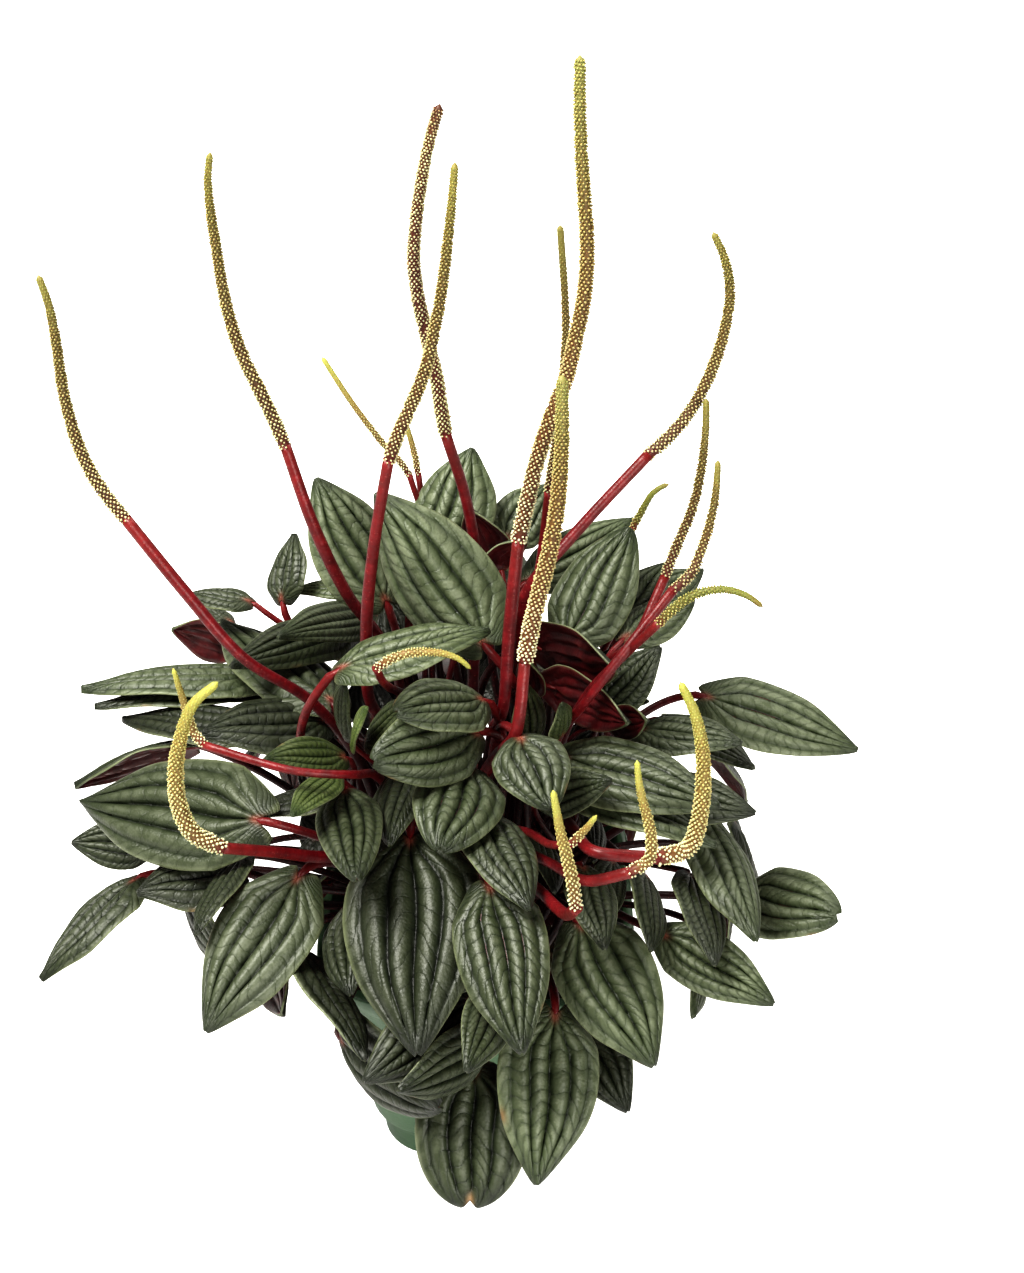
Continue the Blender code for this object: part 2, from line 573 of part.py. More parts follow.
def petiole_line(start, neck, frame, bow):
    """The petiole's path, from its stem out to the neck behind and under the blade."""
    way = neck - start
    reach = np.linalg.norm(way)
    beside = unit(np.cross(way, np.array([0.0, 0.0, 1.0])))
    rise = start + way * PETIOLE_PULL + np.array([0.0, 0.0, bow[0] * reach]) + beside * bow[1] * reach
    arrive = neck - unit(NECK_AHEAD @ frame) * PETIOLE_PULL * reach
    t = np.linspace(0.0, 1.0, PETIOLE_STEPS + 1)[:, None]
    return (1 - t) ** 3 * start + 3 * (1 - t) ** 2 * t * rise + 3 * (1 - t) * t ** 2 * arrive + t ** 3 * neck


def petiole_radius(width):
    """A petiole's radius beyond its foot, less on a small blade."""
    return min(PETIOLE_RADIUS, PETIOLE_SHARE * width)


def petiole_radii(line, width):
    """A petiole's radius along its line: it swells from the stem."""
    return petiole_radius(width) * np.array([PETIOLE_START] + [1.0] * (len(line) - 1))


def stalk_root(crown, order):
    """Where the flower stalks of a crown rise from the top of its stem, side by side."""
    x, y = CROWNS[crown]
    turn = STALK_TURN + order * 2.0 * math.pi / STALKS_ABREAST
    return np.array([x + STALK_RING * math.cos(turn), y + STALK_RING * math.sin(turn), STEM_TOP - STALK_ROOT])


def pictured_blade(name):
    """Base, tip and rough upward direction of a blade from its place on the board."""
    base_place, tip_place, width, layer, facing = BLADES[name]
    base = in_front(*base_place) if len(base_place) == 3 else on_dome(base_place, BASE_DOME, layer)
    tip = in_front(*tip_place) if len(tip_place) == 3 else on_dome(tip_place, TIP_DOME, layer)
    short = SHORTEST_BLADE * width - np.linalg.norm(tip - base)
    if short > 0.0:
        tip = tip - unit(sight(*tip_place[:2])) * short * REACH_BACK
    middle = 0.5 * (base + tip)
    if facing is None:
        normal = (middle - DOME_CENTRE) / TIP_DOME ** 2
        return base, tip, unit(unit(normal) + FACE_EYE * unit(EYE - middle)), width
    to_eye = unit(EYE - middle)
    along = unit(tip - base)
    to_eye = unit(to_eye - along * (to_eye @ along))
    over = np.cross(along, to_eye)
    over = over if over[2] > 0 else -over
    angle = math.radians(facing)
    return base, tip, math.cos(angle) * to_eye + math.sin(angle) * over, width


def back_blades():
    """Base, tip, upward direction and width of each blade on the far side, by golden angle."""
    draw = np.random.default_rng(BACK_SEED)
    for i in range(BACK_BLADES):
        turn = math.radians(BACK_TURNS[0] + (i * GOLDEN_TURN) % BACK_TURNS[1])
        height = math.radians(BACK_HEIGHTS[0] + BACK_HEIGHTS[1] * ((i * GOLDEN_SHARE) % 1.0))
        length = BACK_LENGTHS[0] + BACK_LENGTHS[1] * draw.random()
        width = BACK_WIDTHS[0] + BACK_WIDTHS[1] * draw.random()
        heading = np.array([math.cos(turn), math.sin(turn)])
        out = np.array([*(heading * math.cos(height)), math.sin(height)])
        base = DOME_CENTRE + BASE_DOME * BACK_LAYER * out
        low = height - math.radians(BACK_HANG)
        hang = np.array([*(heading * math.cos(low)), math.sin(low)])
        tip = base + unit(DOME_CENTRE + TIP_DOME * hang - base) * length
        yield base, tip, unit(out + BACK_FACE * hang), width


def clear_place(garden, base, tip, normal, width, slide):
    """Shifts and turns a blade, and bows its petiole, until both are clear of what is placed.

    A petiole may cross others of its own crown, which it grows together with, but
    only where nothing better turns up.  Returns the crown, the blade's frame, base,
    length and width, and the petiole's line, or None where there is no room.
    """
    tries = sorted(itertools.product(SHRINKS, NODS, TWISTS, SLIDES), key=turn_cost)
    first = blade_frame(base, tip, normal)
    full = max(np.linalg.norm(tip - base), SHORTEST_BLADE * width)
    s, t = blade_grid(width)
    best = None
    spare_tries = 0
    for shrink, nod, twist, shift in tries:
        here = base + slide * shift
        frame = turned(first, twist, nod)
        middle = here + blade_surface(s, t, full * shrink, width * shrink).reshape(-1, 3) @ frame
        if garden.touches(shell_of(middle, *s.shape, 0.5 * BLADE_THICKNESS + CLEARANCE)):
            continue
        skins = shell_of(middle, *s.shape, 0.5 * BLADE_THICKNESS)
        own_blade = tree_of([skins])
        crown = crown_of(here, garden.taken)
        slot = garden.slot(crown, here)
        start = slot_place(crown, slot)
        neck = neck_place(here, frame, full * shrink, width * shrink)
        own = (crown, crown + " stalks")
        for bow in BOWS:
            line = petiole_line(start, neck, frame, bow)
            if unit(neck - line[-2]) @ (NECK_AHEAD @ frame) < NECK_BEND:
                continue
            room = CLEARANCE * np.array([SLOT_ROOM] + [1.0] * (len(line) - 1))
            stalk = ring_tube(line, petiole_radii(line, width) + room)
            if tree_of([stalk]).overlap(own_blade):
                continue
            throat = ring_tube(np.array([line[-1], here]),
                               CLEARANCE + np.array([petiole_radius(width), mouth_width(width * shrink)]))
            if garden.touches(stalk, but=own) or garden.touches(throat, but=own[1:]):
                continue
            crossed = garden.touches(stalk, among=own[1:])
            if best is None or crossed < best[0]:
                best = (crossed, crown, slot, frame, here, shrink, line, skins)
            if crossed == 0:
                break
        spare_tries += best is not None
        if best is not None and (best[0] == 0 or spare_tries > SPARE_TRIES):
            break
    if best is None:
        return None
    crossed, crown, slot, frame, here, shrink, line, skins = best
    garden.taken[crown].add(slot)
    garden.add("blades", skins)
    garden.add(crown + " stalks", ring_tube(line, ROUND_OUT * petiole_radii(line, width)))
    return crown, frame, here, full * shrink, width * shrink, line


# ---------------------------------------------------------------- solids

def material(name):
    colour, roughness = COLOURS[name]
    made = bpy.data.materials.get(name) or bpy.data.materials.new(name)
    made.use_nodes = True
    shader = made.node_tree.nodes["Principled BSDF"]
    shader.inputs["Base Color"].default_value = (*colour, 1.0)
    shader.inputs["Roughness"].default_value = roughness
    return made


def new_object(name, mesh, colour, collection):
    mesh.materials.clear()
    mesh.materials.append(material(colour))
    thing = bpy.data.objects.new(name, mesh)
    collection.objects.link(thing)
    return thing


def settled(thing, name):
    """The object's mesh as its modifiers leave it, welded, and the object removed."""
    bpy.context.view_layer.update()
    graph = bpy.context.evaluated_depsgraph_get()
    mesh = bpy.data.meshes.new_from_object(thing.evaluated_get(graph))
    mesh.name = name
    shape = bmesh.new()
    shape.from_mesh(mesh)
    bmesh.ops.remove_doubles(shape, verts=shape.verts, dist=1e-6)
    shape.to_mesh(mesh)
    shape.free()
    bpy.data.objects.remove(thing)
    return mesh


def leaf_object(name, frame, base, length, width, full_width, line, collection):
    """A blade and its petiole as one closed body.

    The blade is a grid bent by blade_surface, with an upper and a lower skin and a
    rim between them.  Two of the rim's faces, beside the notch, are left open, and
    the petiole is lofted from there down to the stem, four-sided.
    """
    s, t = blade_grid(full_width)
    rows, columns = s.shape
    middle = (base + blade_surface(s, t, length, width).reshape(-1, 3) @ frame).reshape(rows, columns, 3)
    normal = np.cross(np.gradient(middle, axis=1), np.gradient(middle, axis=0))
    normal /= np.maximum(np.linalg.norm(normal, axis=2), 1e-9)[..., None]
    normal[-1] = frame[2]
    half = 0.5 * BLADE_THICKNESS
    shape = bmesh.new()
    skins = []
    for side in (1.0, -1.0):
        points = (middle + side * half * normal) * MM
        skin = [[shape.verts.new(point) for point in row] for row in points[:-1]]
        skin.append([shape.verts.new(points[-1, columns // 2])] * columns)
        skins.append(skin)
    for skin, back in zip(skins, (False, True)):
        for i in range(rows - 1):
            for j in range(columns - 1):
                a, b, c, d = skin[i][j], skin[i][j + 1], skin[i + 1][j + 1], skin[i + 1][j]
                for face in ((a, b, c), (a, c, d)) if c is not d else ((a, b, c),):
                    shape.faces.new(face[::-1] if back else face)
    top, bottom = skins
    edge = [(0, j) for j in range(columns)] + [(i, columns - 1) for i in range(1, rows)]
    edge += [(i, 0) for i in range(rows - 2, -1, -1)]
    notch = columns // 2
    for (i, j), (k, m) in zip(edge, edge[1:]):
        if i == k == 0 and notch in (j, m):
            continue
        shape.faces.new((top[k][m], top[i][j], bottom[i][j], bottom[k][m]))
    mouth = [top[0][notch - 1], top[0][notch], top[0][notch + 1],
             bottom[0][notch + 1], bottom[0][notch], bottom[0][notch - 1]]
    petiole_faces = len(shape.faces)
    rings = petiole_rings(line, frame, full_width)
    neck = [shape.verts.new(point * MM) for point in rings[-1]]
    for face in ((mouth[0], mouth[1], neck[0]), (mouth[1], mouth[2], neck[0]), (mouth[2], neck[1], neck[0]),
                 (mouth[2], mouth[3], neck[1]), (mouth[3], neck[2], neck[1]), (mouth[3], mouth[4], neck[2]),
                 (mouth[4], mouth[5], neck[2]), (mouth[5], neck[3], neck[2]), (mouth[5], mouth[0], neck[3]),
                 (mouth[0], neck[0], neck[3])):
        shape.faces.new(face)
    for ring in rings[-2::-1]:
        lower = [shape.verts.new(point * MM) for point in ring]
        for j in range(4):
            k = (j + 1) % 4
            shape.faces.new((neck[j], neck[k], lower[k], lower[j]))
        neck = lower
    shape.faces.new(neck)
    for face in list(shape.faces)[petiole_faces:]:
        face.material_index = 1
    bmesh.ops.triangulate(shape, faces=shape.faces)
    bmesh.ops.recalc_face_normals(shape, faces=shape.faces)
    mesh = bpy.data.meshes.new(name)
    shape.to_mesh(mesh)
    shape.free()
    leaf = new_object(name, mesh, "blade_green", collection)
    mesh.materials.append(material("stalk_red"))
    return leaf


def petiole_rings(line, frame, width):
    """Four-cornered rings round a petiole, from stem to neck: a corner over, beside and under it."""
    ahead = np.gradient(line, axis=0)
    ahead[-1] = NECK_AHEAD @ frame
    radii = petiole_radii(line, width)
    over = frame[2]
    rings = []
    for i in range(len(line) - 1, -1, -1):
        forward = unit(ahead[i])
        over = unit(over - forward * (over @ forward))
        beside = np.cross(forward, over)
        rings.append(line[i] + radii[i] * np.stack([over, beside, -over, -beside]))
    return rings[::-1]


def tube_object(name, points, radii, colour, collection, roundness=0):
    """A round stalk: a curve with a bevel, filled ends and a radius at each point."""
    curve = bpy.data.curves.new(name, "CURVE")
    curve.dimensions = "3D"
    curve.bevel_depth = MM
    curve.bevel_resolution = roundness
    curve.use_fill_caps = True
    spline = curve.splines.new("POLY")
    spline.points.add(len(points) - 1)
    for point, place, radius in zip(spline.points, points, radii):
        point.co = (*(place * MM), 1.0)
        point.radius = radius
    stalk = bpy.data.objects.new(name, curve)
    collection.objects.link(stalk)
    return new_object(name, settled(stalk, name), colour, collection)


def loft_object(name, rings, colour, collection):
    """A closed solid through rings of equal point counts, its two ends capped."""
    rings = np.asarray(rings) * MM
    count, sides = rings.shape[:2]
    corner = np.arange(count * sides).reshape(count, sides)
    faces = []
    for i in range(count - 1):
        for j in range(sides):
            k = (j + 1) % sides
            faces.append((corner[i, j], corner[i, k], corner[i + 1, k], corner[i + 1, j]))
    faces.append(tuple(corner[0, ::-1]))
    faces.append(tuple(corner[-1]))
    mesh = bpy.data.meshes.new(name)
    mesh.from_pydata(rings.reshape(-1, 3).tolist(), [], [tuple(map(int, face)) for face in faces])
    shape = bmesh.new()
    shape.from_mesh(mesh)
    bmesh.ops.triangulate(shape, faces=shape.faces)
    bmesh.ops.recalc_face_normals(shape, faces=shape.faces)
    shape.to_mesh(mesh)
    shape.free()
    return new_object(name, mesh, colour, collection)


def rounded_square(width, z):
    """A ring of points round a square with rounded corners."""
    radius = CORNER_ROUND * width
    inner = 0.5 * width - radius
    ring = []
    for quarter in range(4):
        turn = quarter * 0.5 * math.pi
        cx = inner * (math.cos(turn) - math.sin(turn))
        cy = inner * (math.sin(turn) + math.cos(turn))
        for k in range(CORNER_POINTS):
            angle = turn + 0.5 * math.pi * k / (CORNER_POINTS - 1)
            ring.append((cx + radius * math.cos(angle), cy + radius * math.sin(angle), z))
    return ring


def pot_width(z):
    """Outer width of the plain wall at a height, above the foot."""
    low = POT_FOOT_WIDTH + 2.0 * FOOT_STEP
    high = POT_TOP_WIDTH - 2.0 * RIM_OUT
    return low + (high - low) * (z - FOOT_HEIGHT) / (POT_HEIGHT - FOOT_HEIGHT)


def make_pot(collection):
    """Foot, step, sloping wall, rim, then down the inside to the floor."""
    inner = -2.0 * WALL
    rim_low = POT_HEIGHT - RIM_HEIGHT
    profile = [
        (POT_FOOT_WIDTH - 1.5 * FOOT_EDGE, 0.0),
        (POT_FOOT_WIDTH, FOOT_EDGE),
        (POT_FOOT_WIDTH + FOOT_FLARE, FOOT_HEIGHT - FOOT_FLARE),
        (pot_width(FOOT_HEIGHT), FOOT_HEIGHT),
        (pot_width(rim_low), rim_low),
        (pot_width(rim_low) + 2.0 * RIM_OUT, rim_low + FOOT_EDGE),
        (POT_TOP_WIDTH, POT_HEIGHT - RIM_EDGE),
        (POT_TOP_WIDTH - 2.0 * RIM_EDGE, POT_HEIGHT),
        (POT_TOP_WIDTH - 2.0 * RIM_OUT + inner, POT_HEIGHT),
        (pot_width(FOOT_HEIGHT + STEP_RISE) + inner, FOOT_HEIGHT + STEP_RISE),
        (POT_FOOT_WIDTH + FOOT_FLARE + inner, FOOT_HEIGHT),
        (POT_FOOT_WIDTH + inner, FLOOR),
    ]
    pot = loft_object("pot", [rounded_square(width, z) for width, z in profile], "pot_green", collection)
    helpers = helper_collection()
    for sx in (-1, 1):
        for sy in (-1, 1):
            place = (sx * DRAIN_PLACE, sy * DRAIN_PLACE, 0.0)
            cutter = cylinder("drain", place, DRAIN_RADIUS, 3 * FLOOR, DRAIN_SIDES)
            helpers.objects.link(cutter)
    apply_boolean(pot, helpers, "DIFFERENCE")
    return pot


def helper_collection():
    helpers = bpy.data.collections.new("helpers")
    bpy.context.scene.collection.children.link(helpers)
    return helpers


def cylinder(name, centre, radius, depth, sides):
    mesh = bpy.data.meshes.new(name)
    shape = bmesh.new()
    bmesh.ops.create_cone(shape, cap_ends=True, segments=sides, radius1=radius * MM, radius2=radius * MM,
                          depth=depth * MM)
    bmesh.ops.translate(shape, verts=shape.verts, vec=np.array(centre) * MM)
    shape.to_mesh(mesh)
    shape.free()
    thing = bpy.data.objects.new(name, mesh)
    thing.hide_render = True
    thing.display_type = "WIRE"
    return thing


def apply_boolean(target, helpers, operation, solver="EXACT"):
    """Applies one Boolean with every object of a collection, then removes them."""
    cut = target.modifiers.new("join", "BOOLEAN")
    cut.operand_type = "COLLECTION"
    cut.collection = helpers
    cut.operation = operation
    cut.solver = solver
    if solver == "EXACT":
        cut.material_mode = "TRANSFER"
    bpy.context.view_layer.update()
    graph = bpy.context.evaluated_depsgraph_get()
    mesh = bpy.data.meshes.new_from_object(target.evaluated_get(graph))
    mesh.name = target.name
    target.modifiers.clear()
    target.data = mesh
    for thing in list(helpers.objects):
        bpy.data.objects.remove(thing)
    bpy.data.collections.remove(helpers)


def make_soil(collection):
    """The soil fills the pot, a gap inside its wall, with a plain hole for each stem."""
    inset = -2.0 * (WALL + GAP)
    profile = [
        (POT_FOOT_WIDTH + inset - SOIL_FOOT_EASE, FLOOR + GAP),
        (POT_FOOT_WIDTH + FOOT_FLARE + inset - SOIL_STEP_EASE, FOOT_HEIGHT - SOIL_STEP_EASE),
        (pot_width(FOOT_HEIGHT + STEP_RISE) + inset - SOIL_EASE, FOOT_HEIGHT + SOIL_STEP_TOP),
        (pot_width(SOIL_TOP) + inset - SOIL_EASE, SOIL_TOP),
        (pot_width(SOIL_TOP) * CROWN_WIDTHS[0], SOIL_TOP + CROWN_RISE * SOIL_CROWN),
        (pot_width(SOIL_TOP) * CROWN_WIDTHS[1], SOIL_TOP + SOIL_CROWN),
    ]
    soil = loft_object("soil", [rounded_square(width, z) for width, z in profile], "soil_brown", collection)
    helpers = helper_collection()
    for name, (x, y) in CROWNS.items():
        hole = cylinder("hole_" + name, (x, y, SOIL_TOP), STEM_RADIUS + GAP, 2.0 * STEM_DEPTH, STEM_SIDES)
        helpers.objects.link(hole)
    apply_boolean(soil, helpers, "DIFFERENCE")
    return soil


def spike_rings(points, radius, start):
    """Rings of a flower spike, beads standing out in a spiral as a chequered relief.

    The first ring faces along start, as the end of the stalk below it does.
    """
    sides = 8 if radius > STOUT_SPIKE else 6
    ahead = np.gradient(points, axis=0)
    ahead[0] = start
    ahead /= np.linalg.norm(ahead, axis=1)[:, None]
    side = np.cross(ahead, SIDEWAYS)
    side /= np.linalg.norm(side, axis=1)[:, None]
    top = np.cross(ahead, side)
    angle = np.arange(sides) * 2.0 * np.pi / sides
    rings = []
    for i, place in enumerate(points):
        share = i / (len(points) - 1)
        size = radius * (1.0 - (1.0 - SPIKE_TIP) * share ** SPIKE_TAPER)
        relief = 1.0 + BEAD_RELIEF * (-1.0) ** (np.arange(sides) + i) * (1.0 - share)
        rings.append(place + size * relief[:, None] * (np.cos(angle)[:, None] * side[i]
                                                       + np.sin(angle)[:, None] * top[i]))
    return rings


def spike_lines(name):
    """The red stalk's points and the spike's points, the spike a gap beyond the stalk."""
    crown, radius, reds, places = SPIKES[name]
    points = np.array([in_front(*place) for place in places])
    mates = [other for other in SPIKES if SPIKES[other][0] == crown]
    root = stalk_root(crown, mates.index(name))
    way = points[0] - root
    knee = root + np.array([KNEE_OUT * way[0], KNEE_OUT * way[1], KNEE_UP * max(way[2], KNEE_LEAST)])
    fine = smooth_line(np.vstack([root, knee, points]), FINE_STEPS)
    end = int(np.argmin(np.linalg.norm(fine - points[reds - 1], axis=1)))
    stalk = smooth_line(fine[:end + 1], STALK_STEPS + 1)
    run = np.linalg.norm(np.diff(fine[end:], axis=0), axis=1).sum()
    count = int(np.clip(run / (radius * SPIKE_PITCH), *SPIKE_RINGS))
    beads = smooth_line(fine[end:], count)
    beads[0] = stalk[-1] + unit(stalk[-1] - stalk[-2]) * GAP
    return stalk, beads, radius


def main():
    for thing in list(bpy.data.objects):
        bpy.data.objects.remove(thing)
    plant = bpy.data.collections.new("ripple_peperomia")
    bpy.context.scene.collection.children.link(plant)
    pot = make_pot(plant)
    soil = make_soil(plant)

    garden = Garden()
    for solid in (pot, soil):
        corners = np.array([vertex.co[:] for vertex in solid.data.vertices]) / MM
        garden.add("pot", (corners, [tuple(face.vertices) for face in solid.data.polygons]))

    crowns = {}
    for name, (x, y) in CROWNS.items():
        low = SOIL_TOP - STEM_DEPTH + GAP
        stem = cylinder("leafy_stem_" + name, (x, y, 0.5 * (STEM_TOP + low)), STEM_RADIUS, STEM_TOP - low,
                        STEM_SIDES)
        stem.hide_render = False
        stem.data.materials.append(material("stalk_red"))
        plant.objects.link(stem)
        crowns[name] = (stem, helper_collection())
        line = np.array([[x, y, SOIL_TOP + SOIL_CROWN + 1.0], [x, y, STEM_TOP]])
        garden.add(name, ring_tube(line, STEM_RADIUS, STEM_SIDES))

    for name in SPIKES:
        crown = SPIKES[name][0]
        stalk, beads, radius = spike_lines(name)
        rings = spike_rings(beads, radius, unit(stalk[-1] - stalk[-2]))
        loft_object("spike_" + name, rings, "spike_olive", plant)
        radii = np.full(len(stalk), min(STALK_RADIUS, STALK_SHARE * radius))
        tube_object("stalk_" + name, stalk, radii, "stalk_red", crowns[crown][1])
        garden.add("spikes", ring_tube(beads, ROUND_OUT * radius))
        garden.add(crown + " stalks", ring_tube(stalk, ROUND_OUT * radii[0]))

    for name in sorted(BLADES, key=lambda name: -BLADES[name][3] - WIDE_FIRST * BLADES[name][2]):
        base, tip, normal, width = pictured_blade(name)
        put_leaf(garden, crowns, name, base, tip, normal, width, unit(EYE - base))
    for i, (base, tip, normal, width) in enumerate(back_blades()):
        put_leaf(garden, crowns, f"back_{i + 1:02d}", base, tip, normal, width, unit(base - DOME_CENTRE))

    for stem, helpers in crowns.values():
        apply_boolean(stem, helpers, "UNION")


def put_leaf(garden, crowns, name, base, tip, normal, full_width, slide):
    """Finds a leaf its place and makes it there; one that has no room anywhere is left out."""
    found = clear_place(garden, base, tip, normal, full_width, slide)
    if found is None:
        print("no room:", name)
        return
    crown, frame, here, length, width, line = found
    leaf_object("leaf_" + name, frame, here, length, width, full_width, line, crowns[crown][1])


main()
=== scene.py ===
import itertools
import json
import math
import time

import bpy
import numpy as np
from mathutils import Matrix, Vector
from mathutils.bvhtree import BVHTree

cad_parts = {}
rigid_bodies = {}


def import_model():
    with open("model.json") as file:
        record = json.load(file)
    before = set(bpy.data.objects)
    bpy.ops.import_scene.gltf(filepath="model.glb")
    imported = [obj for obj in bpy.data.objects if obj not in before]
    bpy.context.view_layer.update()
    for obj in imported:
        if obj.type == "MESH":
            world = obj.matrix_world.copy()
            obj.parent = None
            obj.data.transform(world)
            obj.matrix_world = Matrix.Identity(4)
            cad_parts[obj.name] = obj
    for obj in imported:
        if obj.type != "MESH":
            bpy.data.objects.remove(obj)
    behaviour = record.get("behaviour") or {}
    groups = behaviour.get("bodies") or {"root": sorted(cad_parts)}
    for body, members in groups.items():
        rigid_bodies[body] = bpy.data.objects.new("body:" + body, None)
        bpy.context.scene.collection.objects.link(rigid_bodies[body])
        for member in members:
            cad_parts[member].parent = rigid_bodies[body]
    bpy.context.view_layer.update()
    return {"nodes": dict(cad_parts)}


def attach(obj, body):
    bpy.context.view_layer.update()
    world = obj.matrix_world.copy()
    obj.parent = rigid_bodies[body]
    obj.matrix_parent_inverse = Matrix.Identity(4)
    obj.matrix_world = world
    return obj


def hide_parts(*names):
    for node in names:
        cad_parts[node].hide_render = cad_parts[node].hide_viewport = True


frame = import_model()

started = time.time()


def stage(words):
    print(f"{time.time() - started:6.1f} s  {words}")


# Lengths in the dictionaries are millimetres, and mm turns them into metres.
mm = 0.001

# ---- where things stand: the same layout as the solids have

pot = {
    "height": 80.0, "topWidth": 88.0, "footWidth": 57.0, "footHeight": 13.0, "footStep": 3.2,
    "rimHeight": 7.0, "rimOut": 1.6, "rimEdge": 0.6, "footEdge": 0.8, "footFlare": 1.0,
    "wall": 1.3, "floor": 1.8, "cornerRound": 0.26, "cornerSteps": 12,
    "drainRadius": 3.2, "drainPlace": 17.5, "gap": 0.3,
}

soil = {"top": 73.0, "crown": 2.5, "crumb": 0.7, "rings": 46, "around": 168, "loose": 0.8,
        "crumbs": ((2.1, 31), (4.5, 32), (9.0, 33))}

stem = {
    "radius": 4.6, "top": 91.0, "depth": 12.0, "sides": 8, "slotHeights": (78.5, 83.0, 87.5),
    "slotInset": 1.3, "lowBlade": 95.0, "highBlade": 145.0, "levelCost": 0.35, "centreReach": 22.0,
}

crowns = {
    "centre": (1.0, 3.0),
    "front": (-1.0, -17.0),
    "left": (-19.0, -3.0),
    "right": (18.0, -5.0),
    "back_left": (-12.0, 18.0),
    "back_right": (12.0, 17.0),
}

# A drawing board stands before the plant, seen from tilt above and from reach away.
board = {"tilt": math.radians(36.0), "reach": 589.0, "focus": 1900.0,
         "middle": np.array([512.0, 636.5]), "foot": np.array([480.0, 1080.0])}

# The leaves' bases and tips lie on two domes over the pot.
dome = {"centre": np.array([0.0, 0.0, 92.0]), "base": np.array([82.0, 78.0, 66.0]),
        "tip": np.array([113.0, 104.0, 84.0])}

blade = {
    "thickness": 0.7, "arch": 0.13, "cup": 0.16, "lobe": 0.15, "lobeIn": 1.5, "lobeUp": 3,
    "widestAt": 0.36, "baseNarrow": 0.36, "tipPower": 1.9, "tipRound": 0.86, "ripple": 0.055,
    "pitch": 0.56, "rippleStart": 0.08, "ripplePower": 0.6, "large": 22.0, "middle": 14.5,
    "largeGrid": (9, (0.0, 0.16, 0.48, 0.80, 1.0)), "middleGrid": (5, (0.0, 0.16, 0.48, 0.80, 1.0)),
    "smallGrid": (5, (0.0, 0.30, 0.72, 1.0)), "shortest": 1.15, "reachBack": 0.8, "faceEye": 0.25,
}

petiole = {
    "radius": 1.15, "steps": 3, "start": 0.8, "share": 0.065, "pull": 0.30, "neckSpace": 0.5,
    "neckBack": 0.9, "neckNotch": 0.2, "neckUnder": 0.45, "neckAhead": np.array([0.0, 0.86, 0.5]),
    "neckBend": 0.35,
    "bows": ((0.16, 0.0), (0.04, 0.0), (0.30, 0.0), (0.16, 0.2), (0.16, -0.2), (0.04, 0.28),
             (0.04, -0.28), (0.32, 0.28), (0.32, -0.28), (0.45, 0.0), (-0.08, 0.0)),
}

stalk = {
    "radius": 1.5, "steps": 6, "ring": 2.7, "abreast": 5, "turn": 2.4, "root": 1.2, "share": 0.85,
    "kneeOut": 0.35, "kneeUp": 0.62, "kneeLeast": 8.0, "pitch": 3.4, "rings": (7, 12), "fine": 121,
}

search = {
    "clearance": 0.5, "slotRoom": 0.1, "roundOut": 1.3,
    "slides": (0, -2.5, 2.5, -5, 5, -8, 8, -11, 11, -15, 14, -20, 18),
    "twists": (0, 12, -12, 25, -25), "nods": (0, 7, -7, 14), "shrinks": (1.0, 0.86, 0.74),
    "inwardCost": 1.5, "wideFirst": 0.012, "spareTries": 10,
    "shrinkCost": 90.0, "nodCost": 0.9, "twistCost": 0.3,
}

back = {
    "seed": 11, "goldenTurn": 137.508, "goldenShare": 0.618, "layer": 0.92,
    "hang": 34.0, "face": 0.2,
    # For each row: how many, then the least and the range of turns, heights, lengths and widths
    "row": (13, (10.0, 160.0), (-14.0, 46.0), (44.0, 12.0), (19.0, 9.0)),
    "highRow": (9, (60.0, 60.0), (24.0, 36.0), (34.0, 10.0), (15.0, 7.0)),
}

